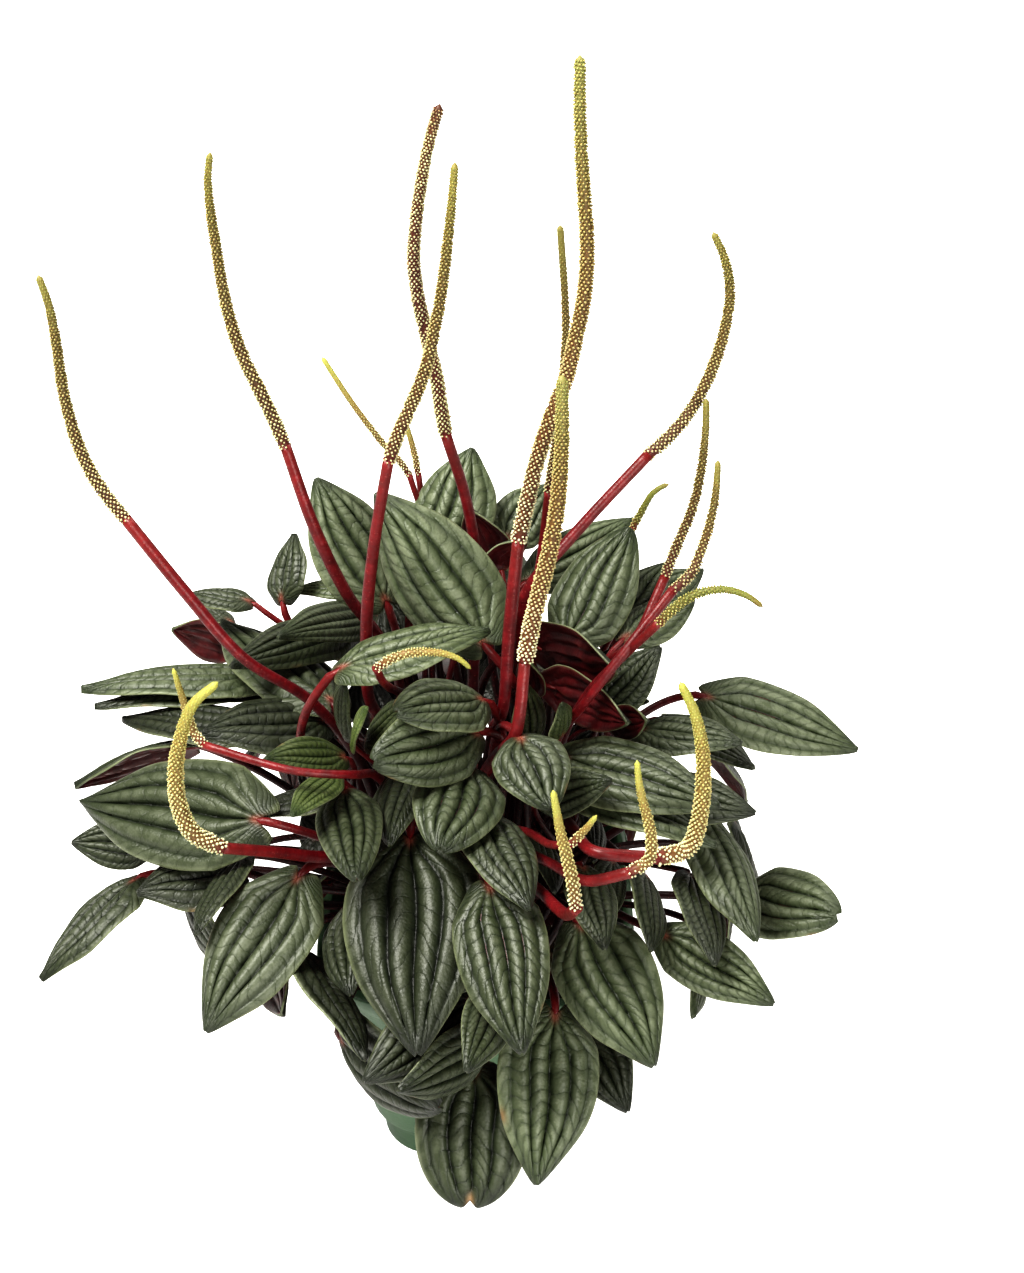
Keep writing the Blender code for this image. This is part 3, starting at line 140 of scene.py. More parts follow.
# name: base on the board, tip on the board, width, layer, facing
# Layer 1 is on the domes; a place with a third number is that far in front of the pot's middle.
# Facing is how far the upper side turns up and away from the eye, in degrees, or None along the dome.
leaves = {
    "left_back_high": ((282, 600), (285, 546), 17, 0.95, None),
    "left_back_tip": ((250, 602), (188, 586), 13, 0.95, None),
    "left_turned": ((236, 648), (174, 622), 15, 0.93, 140),
    "left_back_small": ((232, 624), (202, 603), 11, 0.97, None),
    "left_broad_high": ((330, 700), (222, 597), 25, 0.95, None),
    "left_dark_narrow": ((350, 630), (243, 645), 17, 1.0, 45),
    "left_pale_narrow": ((375, 615), (295, 617), 15, 1.02, 45),
    "left_young_high": ((370, 588), (290, 580), 12, 0.97, 50),
    "left_long": ((268, 677), (82, 664), 26, 1.02, 68),
    "left_hooked": ((262, 690), (95, 683), 20, 0.96, 80),
    "left_dark_outer": ((262, 730), (122, 716), 20, 0.98, None),
    "left_dark_inner": ((325, 722), (198, 730), 20, 1.03, None),
    "left_red_blade": ((190, 745), (71, 768), 25, 0.96, 104),
    "left_great": ((257, 820), (65, 793), 30, 1.06, None),
    "left_low_tip": ((150, 845), (71, 840), 14, 0.95, None),
    "left_folded": ((135, 880), (30, 965), 22, 0.98, 62),
    "left_under_great": ((240, 872), (140, 880), 20, 0.95, 45),
    "left_dark_low": ((242, 858), (187, 943), 15, 0.97, None),
    "left_pale_low": ((185, 885), (200, 965), 15, 0.88, None),
    "left_low_great": ((298, 878), (198, 1022), 25, 1.05, None),
    "low_red_turned": ((262, 938), (308, 1036), 18, 0.90, 140),
    "low_edge_on": ((300, 948), (380, 1038), 20, 0.93, 70),
    "low_dark_curl": ((350, 905), (330, 975), 17, 0.95, 50),
    "inner_small_front": ((345, 792), (353, 860), 16, 1.14, None),
    "inner_edge_on": ((342, 790), (228, 790), 20, 1.03, 74),
    "inner_olive": ((335, 776), (298, 788), 9, 1.05, None),
    "young_left": ((344, 757), (282, 745), 12, 1.10, 40),
    "young_up": ((353, 744), (353, 706), 9, 1.12, None),
    "young_high": ((343, 735), (333, 687), 11, 1.08, None),
    "young_right": ((366, 742), (397, 699), 11, 1.12, None),
    "centre_bright": ((342, 668, 26), (485, 612, 18), 20, 1.12, 42),
    "centre_round_high": ((482, 700, 26), (405, 700, 40), 18, 1.10, 35),
    "centre_round": ((478, 733, 34), (384, 757, 52), 20, 1.08, 30),
    "centre_cup": ((470, 770, 44), (447, 830, 58), 22, 1.04, 20),
    "centre_small_left": ((410, 762), (380, 828), 16, 0.99, None),
    "front_great": ((410, 840), (412, 1042), 34, 1.07, None),
    "front_second": ((490, 887), (520, 1038), 22, 1.04, None),
    "front_dark": ((478, 812), (532, 890), 17, 0.96, None),
    "centre_heart": ((520, 738, 48), (545, 788, 60), 18, 1.08, 25),
    "front_curled": ((537, 833), (560, 902), 14, 1.0, 50),
    "front_small": ((583, 868), (607, 934), 12, 1.04, None),
    "front_smaller": ((612, 862), (611, 914), 9, 1.0, None),
    "front_narrow": ((587, 800), (596, 862), 11, 1.0, 45),
    "erect_left": ((530, 742), (530, 690), 10, 0.95, None),
    "erect_right": ((560, 737), (557, 690), 12, 0.95, None),
    "erect_top": ((532, 692), (533, 652), 9, 0.95, None),
    "high_red_blade": ((535, 645), (633, 657), 20, 1.07, 112),
    "high_red_curl": ((548, 685), (617, 727), 16, 1.04, 115),
    "high_great": ((482, 642, 6), (372, 497, -12), 28, 1.02, 15),
    "high_left": ((385, 600, -20), (318, 478, -38), 24, 0.96, 15),
    "high_back": ((440, 545, -35), (468, 446, -50), 23, 0.95, 15),
    "high_dark_curl": ((500, 565, -28), (474, 502, -31), 15, 0.97, 140),
    "high_red_strip": ((488, 566, -24), (522, 532, -24), 12, 0.99, 125),
    "high_back_right": ((505, 540, -40), (550, 482, -52), 16, 0.93, 15),
    "high_pale": ((530, 580, -35), (635, 510, -50), 16, 0.95, 20),
    "high_right": ((567, 640, -5), (629, 527, -25), 22, 1.02, 15),
    "high_right_dark": ((620, 620, -10), (668, 555, -25), 14, 0.95, 20),
    "high_right_tip": ((630, 612, -22), (707, 561, -40), 14, 0.95, 20),
    "high_right_low": ((625, 638, -5), (693, 590, -18), 15, 0.98, 25),
    "right_dark_narrow": ((612, 655), (622, 600), 11, 0.96, None),
    "right_dark_high": ((590, 705), (610, 655), 14, 0.96, None),
    "right_fork_high": ((605, 710), (659, 647), 13, 1.01, None),
    "right_fork_low": ((605, 718), (643, 690), 10, 1.01, None),
    "right_great": ((562, 757), (716, 792), 21, 1.06, None),
    "right_second": ((575, 790), (718, 825), 19, 1.02, 35),
    "right_inner_dark": ((540, 800), (600, 780), 12, 0.97, 40),
    "right_far": ((707, 697), (861, 740), 22, 1.0, 25),
    "right_dark_back": ((660, 720), (755, 750), 16, 0.93, None),
    "right_back": ((640, 730), (737, 730), 16, 0.98, None),
    "right_under": ((640, 790), (753, 802), 16, 0.97, 45),
    "right_red_round": ((612, 723), (637, 722), 9, 1.0, 150),
    "right_low_curl": ((703, 812), (767, 922), 18, 1.04, None),
    "right_round": ((745, 895), (828, 908), 21, 0.97, 20),
    "right_low_inner": ((690, 875), (725, 950), 14, 0.98, None),
    "right_pointed": ((663, 935), (771, 998), 16, 1.04, None),
    "right_low_pale": ((700, 930), (712, 1012), 14, 0.94, None),
    "right_inner_low": ((645, 875), (665, 940), 14, 0.93, None),
    "front_right": ((580, 925), (655, 1058), 24, 1.03, None),
    "front_hanging": ((555, 1015), (543, 1185), 25, 1.06, None),
    "front_hanging_dark": ((575, 1010), (620, 1105), 17, 0.98, None),
    "front_round": ((474, 1070), (470, 1205), 28, 1.04, None),
    "low_round": ((342, 1040), (420, 1114), 22, 0.98, None),
    "low_middle": ((470, 1000), (373, 1077), 18, 1.0, None),
    "low_grey": ((490, 1040), (405, 1090), 18, 0.93, None),
    "low_small_curl": ((490, 950), (437, 985), 12, 0.98, None),
    "low_green_rib": ((500, 990), (476, 1060), 13, 0.99, None),
}

# Leaves deep in the bush, placed after the ones above and the back row: written in the same way
deepLeaves = {
    "deep_high": ((408, 652, -42), (388, 600, -55), 14, 0.82, 15),
    "deep_middle": ((455, 708, -36), (466, 655, -50), 15, 0.80, 15),
    "deep_left": ((375, 722, -30), (362, 672, -44), 14, 0.80, 15),
    "deep_right": ((500, 700, -30), (490, 652, -46), 12, 0.78, 15),
    "deep_outer": ((338, 790, -8), (300, 760, -16), 13, 0.80, 15),
    "deep_low": ((335, 850, -2), (302, 812, -12), 13, 0.80, 15),
    "deep_left_low": ((320, 835, 4), (285, 880, 16), 13, 0.80, None),
    "deep_left_rim": ((330, 880, 10), (300, 905, 22), 13, 0.80, None),
    "deep_back": ((500, 690, -52), (492, 628, -62), 15, 0.795, 15),
    "deep_back_left": ((385, 735, -50), (398, 668, -56), 15, 0.795, 15),
    "deep_gap_left": ((360, 640, -38), (318, 640, -44), 13, 0.80, 30),
    "deep_gap_high": ((470, 640, -44), (500, 590, -56), 13, 0.80, 15),
    "deep_gap_right": ((560, 760, 0), (590, 735, -4), 12, 0.80, 30),
}

# name: crown, radius, how many points are red stalk, points (on the board, and in front of the middle)
spikes = {
    "far_left": ("left", 1.75, 4, (
        (225, 645, 12), (195, 605, 8), (160, 560, 4), (124, 517, 0),
        (100, 487, -2), (80, 450, -4), (65, 400, -6), (57, 350, -8), (50, 310, -9), (38, 275, -10))),
    "left_tall": ("back_left", 1.85, 3, (
        (327, 567, -8), (310, 510, -12), (285, 445, -16),
        (262, 395, -18), (240, 350, -20), (225, 300, -22), (215, 240, -24), (208, 190, -25),
        (210, 152, -26))),
    "middle_left": ("centre", 1.75, 4, (
        (365, 700, 12), (368, 620, 8), (372, 560, 6), (388, 462, 4),
        (400, 430, 3), (425, 370, 0), (440, 300, -3), (450, 220, -6), (455, 162, -9))),
    "middle_tall": ("centre", 1.9, 3, (
        (478, 550, -18), (462, 490, -18), (445, 432, -18),
        (437, 380, -18), (425, 330, -18), (414, 270, -18), (416, 220, -18), (425, 160, -18),
        (435, 120, -18), (440, 104, -18))),
    "back_pale": ("back_left", 1.0, 2, (
        (425, 520, -45), (410, 475, -47), (380, 440, -50), (350, 400, -53), (322, 357, -56))),
    "back_tiny": ("back_left", 1.0, 2, (
        (424, 500, -52), (418, 472, -54), (413, 448, -56), (405, 420, -58))),
    "tallest": ("centre", 2.1, 3, (
        (505, 700, 30), (510, 620, 22), (519, 537, 14),
        (530, 490, 11), (545, 430, 8), (560, 400, 6), (575, 340, 3), (585, 290, 1), (587, 240, -1),
        (583, 180, -3), (580, 120, -5), (580, 55, -7))),
    "behind_tall": ("back_right", 1.15, 2, (
        (540, 560, -40), (548, 490, -40),
        (557, 430, -40), (565, 350, -40), (565, 300, -40), (560, 225, -40))),
    "white_beaded": ("front", 2.25, 3, (
        (515, 735, 44), (520, 700, 42), (525, 660, 38),
        (535, 610, 34), (550, 550, 30), (558, 500, 27), (562, 440, 24), (562, 375, 21))),
    "right_tall": ("back_right", 1.75, 4, (
        (530, 580, 6), (570, 540, 0), (610, 490, -6), (648, 455, -10),
        (680, 425, -13), (705, 385, -16), (722, 340, -18), (730, 295, -20), (725, 260, -21),
        (713, 232, -22))),
    "right_small": ("back_right", 1.1, 2, (
        (626, 545, -34), (634, 526, -34), (645, 505, -34), (655, 491, -34), (669, 484, -34))),
    "right_pair_back": ("back_right", 1.4, 3, (
        (630, 645, 12), (645, 620, 8), (665, 577, 3),
        (675, 550, 0), (695, 500, -4), (705, 440, -8), (706, 398, -11))),
    "right_pair_front": ("right", 1.4, 4, (
        (590, 698, 34), (600, 685, 31), (640, 630, 24), (672, 591, 18),
        (690, 575, 15), (705, 540, 11), (715, 500, 8), (718, 460, 5))),
    "right_branch": ("right", 1.25, 2, (
        (640, 640, 29), (660, 622, 29),
        (670, 612, 29), (690, 597, 29), (720, 589, 29), (750, 597, 30), (763, 607, 31))),
    "short_yellow": ("centre", 1.2, 2, (
        (365, 676, 38), (378, 667, 38), (400, 655, 38), (430, 652, 38), (455, 657, 38), (471, 669, 38))),
    "left_hook": ("left", 2.3, 4, (
        (345, 858, 38), (305, 855, 46), (262, 851, 54), (222, 848, 60),
        (200, 840, 61), (185, 820, 60), (176, 790, 58), (178, 750, 56), (190, 710, 54), (205, 690, 53),
        (218, 682, 52))),
    "left_small_hook": ("left", 1.25, 4, (
        (340, 775, 56), (290, 770, 54), (240, 760, 50), (203, 745, 46),
        (194, 733, 44), (183, 700, 42), (173, 668, 40))),
    "right_hook": ("right", 2.3, 2, (
        (597, 853, 70), (660, 858, 66),
        (680, 857, 64), (695, 835, 62), (702, 800, 60), (703, 760, 58), (697, 720, 56), (680, 682, 54))),
    "right_small_hook": ("front", 1.5, 2, (
        (603, 888, 82), (630, 873, 80),
        (645, 865, 79), (652, 850, 78), (648, 820, 76), (640, 790, 74), (637, 760, 72))),
    "front_short": ("front", 1.6, 2, (
        (578, 925, 88), (577, 908, 88), (570, 870, 86), (560, 830, 84), (553, 790, 82))),
    "front_tiny": ("front", 1.1, 2, (
        (565, 852, 78), (573, 842, 78), (585, 830, 78), (597, 815, 78))),
}


# What every tube's ring starts from, and how finely a drawn line is first followed
sideways = np.array([0.31, 0.87, 0.39])
curveSteps = 8

# ---- the drawing board

forward = np.array([0.0, math.cos(board["tilt"]), -math.sin(board["tilt"])])
upward = np.array([0.0, math.sin(board["tilt"]), math.cos(board["tilt"])])
aside = np.array([1.0, 0.0, 0.0])


# Direction through a place on the board, one unit long along forward.
def sight(u, v):
    across, down = (np.array([u, v]) - board["middle"]) / board["focus"]
    return forward + aside * across - upward * down


eye = -board["reach"] * sight(*board["foot"])


# The nearer crossing of a sight line with an ellipsoid about the dome's centre.
def onDome(place, radii, layer):
    ray = sight(*place) / (radii * layer)
    start = (eye - dome["centre"]) / (radii * layer)
    a, b, c = ray @ ray, start @ ray, start @ start - 1.0
    reach = (-b - math.sqrt(max(b * b - a * c, 0.0))) / a
    return eye + sight(*place) * reach


# The crossing of a sight line with the upright plane that lies a distance in front of the middle.
def inFront(u, v, distance):
    ray = sight(u, v)
    return eye + ray * ((-distance - eye[1]) / ray[1])


def unit(vector):
    return vector / np.linalg.norm(vector)


def unitRows(vectors):
    return vectors / np.maximum(np.linalg.norm(vectors, axis=-1, keepdims=True), 1e-9)


# How far along a line each of its points is.
def runAlong(points):
    return np.concatenate([[0.0], np.cumsum(np.linalg.norm(np.diff(points, axis=0), axis=1))])


# Points read off at given distances along a line.
def readOff(stops, run, points):
    return np.stack([np.interp(stops, run, points[:, k]) for k in range(3)], axis=1)


def roundAngles(sides):
    return np.arange(sides) * 2.0 * np.pi / sides


# Circles' spokes: a cosine of one direction and a sine of the other, for each of a row of places.
def spokesOf(side, top, angle):
    return np.cos(angle)[None, :, None] * side[:, None] + np.sin(angle)[None, :, None] * top[:, None]


# Catmull-Rom curve through the points, read off at even distances.
def smoothLine(points, count):
    points = np.asarray(points, float)
    ends = np.vstack([2 * points[0] - points[1], points, 2 * points[-1] - points[-2]])
    fine = []
    for i in range(len(points) - 1):
        p0, p1, p2, p3 = ends[i:i + 4]
        for t in np.linspace(0.0, 1.0, curveSteps + 1)[:-1]:
            fine.append(0.5 * (2 * p1 + (p2 - p0) * t + (2 * p0 - 5 * p1 + 4 * p2 - p3) * t ** 2
                               + (3 * p1 - p0 - 3 * p2 + p3) * t ** 3))
    fine = np.array(fine + [points[-1]])
    run = runAlong(fine)
    return readOff(np.linspace(0.0, run[-1], count), run, fine)


# ---- finding every leaf its clear place, on the same coarse blades as the solids

# Outline: a quarter ellipse-like base up to the widest place, then a power curve to the tip.
def halfWidth(s):
    widest = blade["widestAt"]
    low = 1.0 - blade["baseNarrow"] * np.clip((widest - s) / widest, 0.0, 1.0) ** 2
    high = 1.0 - np.clip((s - widest) / (1.0 - widest), 0.0, 1.0) ** blade["tipPower"]
    return np.where(s < widest, low, high ** blade["tipRound"])


# Across by the outline, along with the lobes drawn back, up by arch, cup and a cosine of ridges.
def coarseBlade(s, t, length, width):
    half = 0.5 * width
    across = half * t * halfWidth(s)
    along = length * (s - blade["lobe"] * np.abs(t) ** blade["lobeIn"] * (1.0 - s) ** blade["lobeUp"])
    swell = np.sin(np.pi * np.clip(s + blade["rippleStart"], 0, 1)) ** blade["ripplePower"]
    ridges = -np.cos(2.0 * np.pi * np.abs(t) / blade["pitch"]) * swell
    up = -blade["arch"] * length * s ** 2 - blade["cup"] * half * t ** 2 + blade["ripple"] * half * ridges
    return np.stack([across, along, up], axis=-1)


def coarseColumns(columns):
    side = np.append(np.arange((columns - 1) // 2) * 0.5 * blade["pitch"], 1.0)
    return np.concatenate([-side[:0:-1], side])


def coarseGrid(width):
    grid = (blade["largeGrid"] if width >= blade["large"] else
            blade["middleGrid"] if width >= blade["middle"] else blade["smallGrid"])
    return np.meshgrid(grid[1], coarseColumns(grid[0]), indexing="ij")


def gridTriangles(rows, columns):
    corner = np.arange(rows * columns).reshape(rows, columns)
    a, b = corner[:-1, :-1].ravel(), corner[:-1, 1:].ravel()
    c, d = corner[1:, 1:].ravel(), corner[1:, :-1].ravel()
    return np.concatenate([np.stack([a, b, c], 1), np.stack([a, c, d], 1)])


def bladeFrame(base, tip, normal):
    along = unit(tip - base)
    up = unit(normal - along * (normal @ along))
    return np.stack([np.cross(along, up), along, up])


def turned(axes, twist, nod):
    across, along, up = axes
    c, s = math.cos(math.radians(twist)), math.sin(math.radians(twist))
    across, up = c * across + s * up, c * up - s * across
    c, s = math.cos(math.radians(nod)), math.sin(math.radians(nod))
    return np.stack([across, c * along + s * up, c * up - s * along])


# A plain ring of corners carried along a line.
def ringTube(points, radius, sides=5):
    radius = np.broadcast_to(radius, len(points))[:, None, None]
    ahead = np.gradient(points, axis=0)
    ahead /= np.linalg.norm(ahead, axis=1)[:, None]
    side = np.cross(ahead, sideways)
    side /= np.linalg.norm(side, axis=1)[:, None]
    top = np.cross(ahead, side)
    rings = points[:, None] + radius * spokesOf(side, top, roundAngles(sides))
    corner = np.arange(len(points) * sides).reshape(len(points), sides)
    after = np.roll(corner, -1, axis=1)
    faces = np.stack([corner[:-1], after[:-1], after[1:], corner[1:]], axis=-1).reshape(-1, 4)
    return rings.reshape(-1, 3), faces


def treeOf(shapes):
    corners, faces = [], []
    for points, cells in shapes:
        faces.extend((np.asarray(cells) + len(corners)).tolist())
        corners.extend(points.tolist())
    return BVHTree.FromPolygons(corners, faces)


def shellOf(points, rows, columns, offset):
    grid = points.reshape(rows, columns, 3)
    normal = np.cross(np.gradient(grid, axis=1), np.gradient(grid, axis=0))
    normal /= np.maximum(np.linalg.norm(normal, axis=2), 1e-9)[..., None]
    skins = np.concatenate([(grid + push * normal).reshape(-1, 3) for push in (offset, -offset)])
    faces = gridTriangles(rows, columns)
    return skins, np.concatenate([faces, faces + rows * columns])


placed = {}
taken = {name: set() for name in crowns}
trees = {}


def addPlaced(group, shape):
    placed.setdefault(group, []).append(shape)
    trees.pop(group, None)


# How many pairs of faces of a shape meet the placed groups.
def touches(shape, among=None, but=()):
    probe = treeOf([shape])
    hits = 0
    for group in among or placed:
        if group in but or group not in placed:
            continue
        if group not in trees:
            trees[group] = treeOf(placed[group])
        hits += len(probe.overlap(trees[group]))
    return hits


# The free place on a crown's stem whose heading and height suit a target best.
def freeSlot(crown, target):
    x, y = crowns[crown]
    heading = math.atan2(target[1] - y, target[0] - x)
    share = np.clip((target[2] - stem["lowBlade"]) / (stem["highBlade"] - stem["lowBlade"]), 0.0, 1.0)
    rise = share * (len(stem["slotHeights"]) - 1)

    def cost(slot):
        turn = 2 * math.pi * (slot[0] + 0.5) / stem["sides"] - heading
        away = abs((turn + math.pi) % (2 * math.pi) - math.pi)
        return away + stem["levelCost"] * abs(slot[1] - rise)

    slots = itertools.product(range(stem["sides"]), range(len(stem["slotHeights"])))
    return min((slot for slot in slots if slot not in taken[crown]), key=cost)


def slotPlace(crown, slot):
    x, y = crowns[crown]
    turn = 2 * math.pi * (slot[0] + 0.5) / stem["sides"]
    reach = stem["radius"] - stem["slotInset"]
    height = stem["slotHeights"][slot[1]]
    return np.array([x + reach * math.cos(turn), y + reach * math.sin(turn), height])


def crownOf(point):
    heading = unit(point[:2])
    outer = {name: unit(np.array(place)) for name, place in crowns.items() if name != "centre"}
    ranked = sorted(outer, key=lambda name: -(outer[name] @ heading))
    if np.hypot(point[0], point[1]) < stem["centreReach"]:
        ranked.insert(0, "centre")
    return next(name for name in ranked if len(taken[name]) < stem["sides"] * len(stem["slotHeights"]))


def petioleRadius(width):
    return min(petiole["radius"], petiole["share"] * width)


def neckPlace(base, axes, length, width):
    radius = petioleRadius(width)
    notch = petiole["neckNotch"] * blade["lobe"] * length
    behind = petiole["neckBack"] * radius + notch + petiole["neckSpace"]
    return base - axes[1] * behind - axes[2] * petiole["neckUnder"] * radius


def turnCost(turn):
    shrink, nod, twist, shift = turn
    slid = abs(shift) * (search["inwardCost"] if shift < 0 else 1.0)
    nodded, twisted = abs(nod) * search["nodCost"], abs(twist) * search["twistCost"]
    return round((1.0 - shrink) * search["shrinkCost"] + nodded + twisted + slid, 3), turn


def mouthWidth(width):
    return 0.5 * width * 0.5 * blade["pitch"] * halfWidth(0.0)


# Cubic Bezier curve from the stem to the neck.
def petioleCurve(start, neck, axes, bow, count):
    way = neck - start
    reach = np.linalg.norm(way)
    beside = unit(np.cross(way, np.array([0.0, 0.0, 1.0])))
    rise = start + way * petiole["pull"] + np.array([0.0, 0.0, bow[0] * reach]) + beside * bow[1] * reach
    arrive = neck - unit(petiole["neckAhead"] @ axes) * petiole["pull"] * reach
    t = np.linspace(0.0, 1.0, count)[:, None]
    return ((1 - t) ** 3 * start + 3 * (1 - t) ** 2 * t * rise
            + 3 * (1 - t) * t ** 2 * arrive + t ** 3 * neck)


def petioleRadii(count, width):
    return petioleRadius(width) * np.array([petiole["start"]] + [1.0] * (count - 1))


def stalkRoot(crown, order):
    x, y = crowns[crown]
    turn = stalk["turn"] + order * 2.0 * math.pi / stalk["abreast"]
    return np.array([x + stalk["ring"] * math.cos(turn), y + stalk["ring"] * math.sin(turn),
                     stem["top"] - stalk["root"]])


# Base, tip, rough upward direction and width of a leaf from its row in a table.
def drawnLeaf(basePlace, tipPlace, width, layer, facing):
    base = inFront(*basePlace) if len(basePlace) == 3 else onDome(basePlace, dome["base"], layer)
    tip = inFront(*tipPlace) if len(tipPlace) == 3 else onDome(tipPlace, dome["tip"], layer)
    short = blade["shortest"] * width - np.linalg.norm(tip - base)
    if short > 0.0:
        tip = tip - unit(sight(*tipPlace[:2])) * short * blade["reachBack"]
    middle = 0.5 * (base + tip)
    if facing is None:
        normal = (middle - dome["centre"]) / dome["tip"] ** 2
        return base, tip, unit(unit(normal) + blade["faceEye"] * unit(eye - middle)), width
    toEye = unit(eye - middle)
    along = unit(tip - base)
    toEye = unit(toEye - along * (toEye @ along))
    over = np.cross(along, toEye)
    over = over if over[2] > 0 else -over
    angle = math.radians(facing)
    return base, tip, math.cos(angle) * toEye + math.sin(angle) * over, width


# The far side's leaves, spread by the golden angle and the golden section.
def farLeaves(draw, count, turns, heights, lengths, widths):
    for i in range(count):
        turn = math.radians(turns[0] + (i * back["goldenTurn"]) % turns[1])
        height = math.radians(heights[0] + heights[1] * ((i * back["goldenShare"]) % 1.0))
        length = lengths[0] + lengths[1] * draw.random()
        width = widths[0] + widths[1] * draw.random()
        heading = np.array([math.cos(turn), math.sin(turn)])
        out = np.array([*(heading * math.cos(height)), math.sin(height)])
        base = dome["centre"] + dome["base"] * back["layer"] * out
        low = height - math.radians(back["hang"])
        hang = np.array([*(heading * math.cos(low)), math.sin(low)])
        tip = base + unit(dome["centre"] + dome["tip"] * hang - base) * length
        yield base, tip, unit(out + back["face"] * hang), width


# Tries shifts, turns and petiole bows, cheapest first, until a leaf is clear of what stands already.
def clearPlace(base, tip, normal, width, slide):
    tries = sorted(itertools.product(*(search[way] for way in ("shrinks", "nods", "twists", "slides"))),
                   key=turnCost)
    first = bladeFrame(base, tip, normal)
    full = max(np.linalg.norm(tip - base), blade["shortest"] * width)
    s, t = coarseGrid(width)
    best = None
    spare = 0
    for shrink, nod, twist, shift in tries:
        here = base + slide * shift
        axes = turned(first, twist, nod)
        middle = here + coarseBlade(s, t, full * shrink, width * shrink).reshape(-1, 3) @ axes
        if touches(shellOf(middle, *s.shape, 0.5 * blade["thickness"] + search["clearance"])):
            continue
        skins = shellOf(middle, *s.shape, 0.5 * blade["thickness"])
        ownBlade = treeOf([skins])
        crown = crownOf(here)
        slot = freeSlot(crown, here)
        start = slotPlace(crown, slot)
        neck = neckPlace(here, axes, full * shrink, width * shrink)
        own = (crown, crown + " stalks")
        for bow in petiole["bows"]:
            line = petioleCurve(start, neck, axes, bow, petiole["steps"] + 1)
            if unit(neck - line[-2]) @ (petiole["neckAhead"] @ axes) < petiole["neckBend"]:
                continue
            room = search["clearance"] * np.array([search["slotRoom"]] + [1.0] * (len(line) - 1))
            tube = ringTube(line, petioleRadii(len(line), width) + room)
            if treeOf([tube]).overlap(ownBlade):
                continue
            widths = np.array([petioleRadius(width), mouthWidth(width * shrink)])
            throat = ringTube(np.array([line[-1], here]), search["clearance"] + widths)
            if touches(tube, but=own) or touches(throat, but=own[1:]):
                continue
            crossed = touches(tube, among=own[1:])
            if best is None or crossed < best[0]:
                best = (crossed, crown, slot, axes, here, shrink, bow, line, skins)
            if crossed == 0:
                break
        spare += best is not None
        if best is not None and (best[0] == 0 or spare > search["spareTries"]):
            break
    if best is None:
        return None
    crossed, crown, slot, axes, here, shrink, bow, line, skins = best
    taken[crown].add(slot)
    addPlaced("blades", skins)
    addPlaced(crown + " stalks", ringTube(line, search["roundOut"] * petioleRadii(len(line), width)))
    start, neck = slotPlace(crown, slot), neckPlace(here, axes, full * shrink, width * shrink)
    curve = petioleCurve(start, neck, axes, bow, petioleLook["curve"])
    return crown, axes, here, full * shrink, width * shrink, curve


# The red stalk's points and the flower spike's points.
def spikeLines(name):
    crown, radius, reds, places = spikes[name]
    points = np.array([inFront(*place) for place in places])
    mates = [other for other in spikes if spikes[other][0] == crown]
    root = stalkRoot(crown, mates.index(name))
    way = points[0] - root
    knee = root + np.array([stalk["kneeOut"] * way[0], stalk["kneeOut"] * way[1],
                            stalk["kneeUp"] * max(way[2], stalk["kneeLeast"])])
    fine = smoothLine(np.vstack([root, knee, points]), stalk["fine"])
    end = int(np.argmin(np.linalg.norm(fine - points[reds - 1], axis=1)))
    red = smoothLine(fine[:end + 1], stalk["steps"] + 1)
    run = np.linalg.norm(np.diff(fine[end:], axis=0), axis=1).sum()
    count = int(np.clip(run / (radius * stalk["pitch"]), *stalk["rings"]))
    beads = smoothLine(fine[end:], count)
    beads[0] = red[-1] + unit(red[-1] - red[-2]) * pot["gap"]
    return red, beads, radius


# ---- surfaces: rings of points joined into closed shapes, and shapes joined into a piece

shapesMade = {"triangles": 0}


# Quads between neighbouring rings, closed by a pole at each end. Where the start is flat it is zipped
# up instead: zipStart is how many of a ring's points are upper ones. The lower ones are as close or
# half so.
def loft(rings, marks, slots, zipStart=0, poles=(None, None)):
    count, sides = rings.shape[:2]
    corner = np.arange(count * sides).reshape(count, sides)
    after = np.roll(corner, -1, axis=1)
    quads = np.stack([corner[:-1], after[:-1], after[1:], corner[1:]], axis=-1).reshape(-1, 4)
    quadSlots = np.tile(slots, count - 1)
    points = [rings.reshape(-1, 3)]
    values = {name: [mark.reshape(count * sides, -1)] for name, mark in marks.items()}
    triangles, triangleSlots = [], []
    total = count * sides
    for row, pole in ((0, poles[0]), (-1, poles[1])):
        if row == 0 and zipStart:
            upper, lower = corner[0, :zipStart], corner[0, :zipStart - 1:-1]
            step = zipStart // (len(lower) - 1)
            first, second = upper[step::step], upper[step - 1:-1:step]
            quads = np.concatenate([quads, np.stack([first, second, lower[:-1], lower[1:]], axis=-1)])
            quadSlots = np.concatenate([quadSlots, np.full(len(lower) - 1, slots[0])])
            if step == 2:
                triangles.append(np.stack([upper[1::2], upper[:-1:2], lower[:-1]], axis=-1))
                triangleSlots.append(np.full(len(lower) - 1, slots[0]))
            continue
        points.append((rings[row].mean(axis=0) if pole is None else pole)[None])
        for name, mark in marks.items():
            values[name].append(mark[row].reshape(sides, -1).mean(axis=0)[None])
        first, second = (after[0], corner[0]) if row == 0 else (corner[-1], after[-1])
        triangles.append(np.stack([first, second, np.full(sides, total)], axis=-1))
        triangleSlots.append(slots)
        total += 1
    return {"points": np.concatenate(points), "quads": quads, "quadSlots": quadSlots,
            "triangles": np.concatenate(triangles), "triangleSlots": np.concatenate(triangleSlots),
            "marks": {name: np.concatenate(parts) for name, parts in values.items()}}


def inScene(name, data):
    thing = bpy.data.objects.new(name, data)
    bpy.context.scene.collection.objects.link(thing)
    return thing


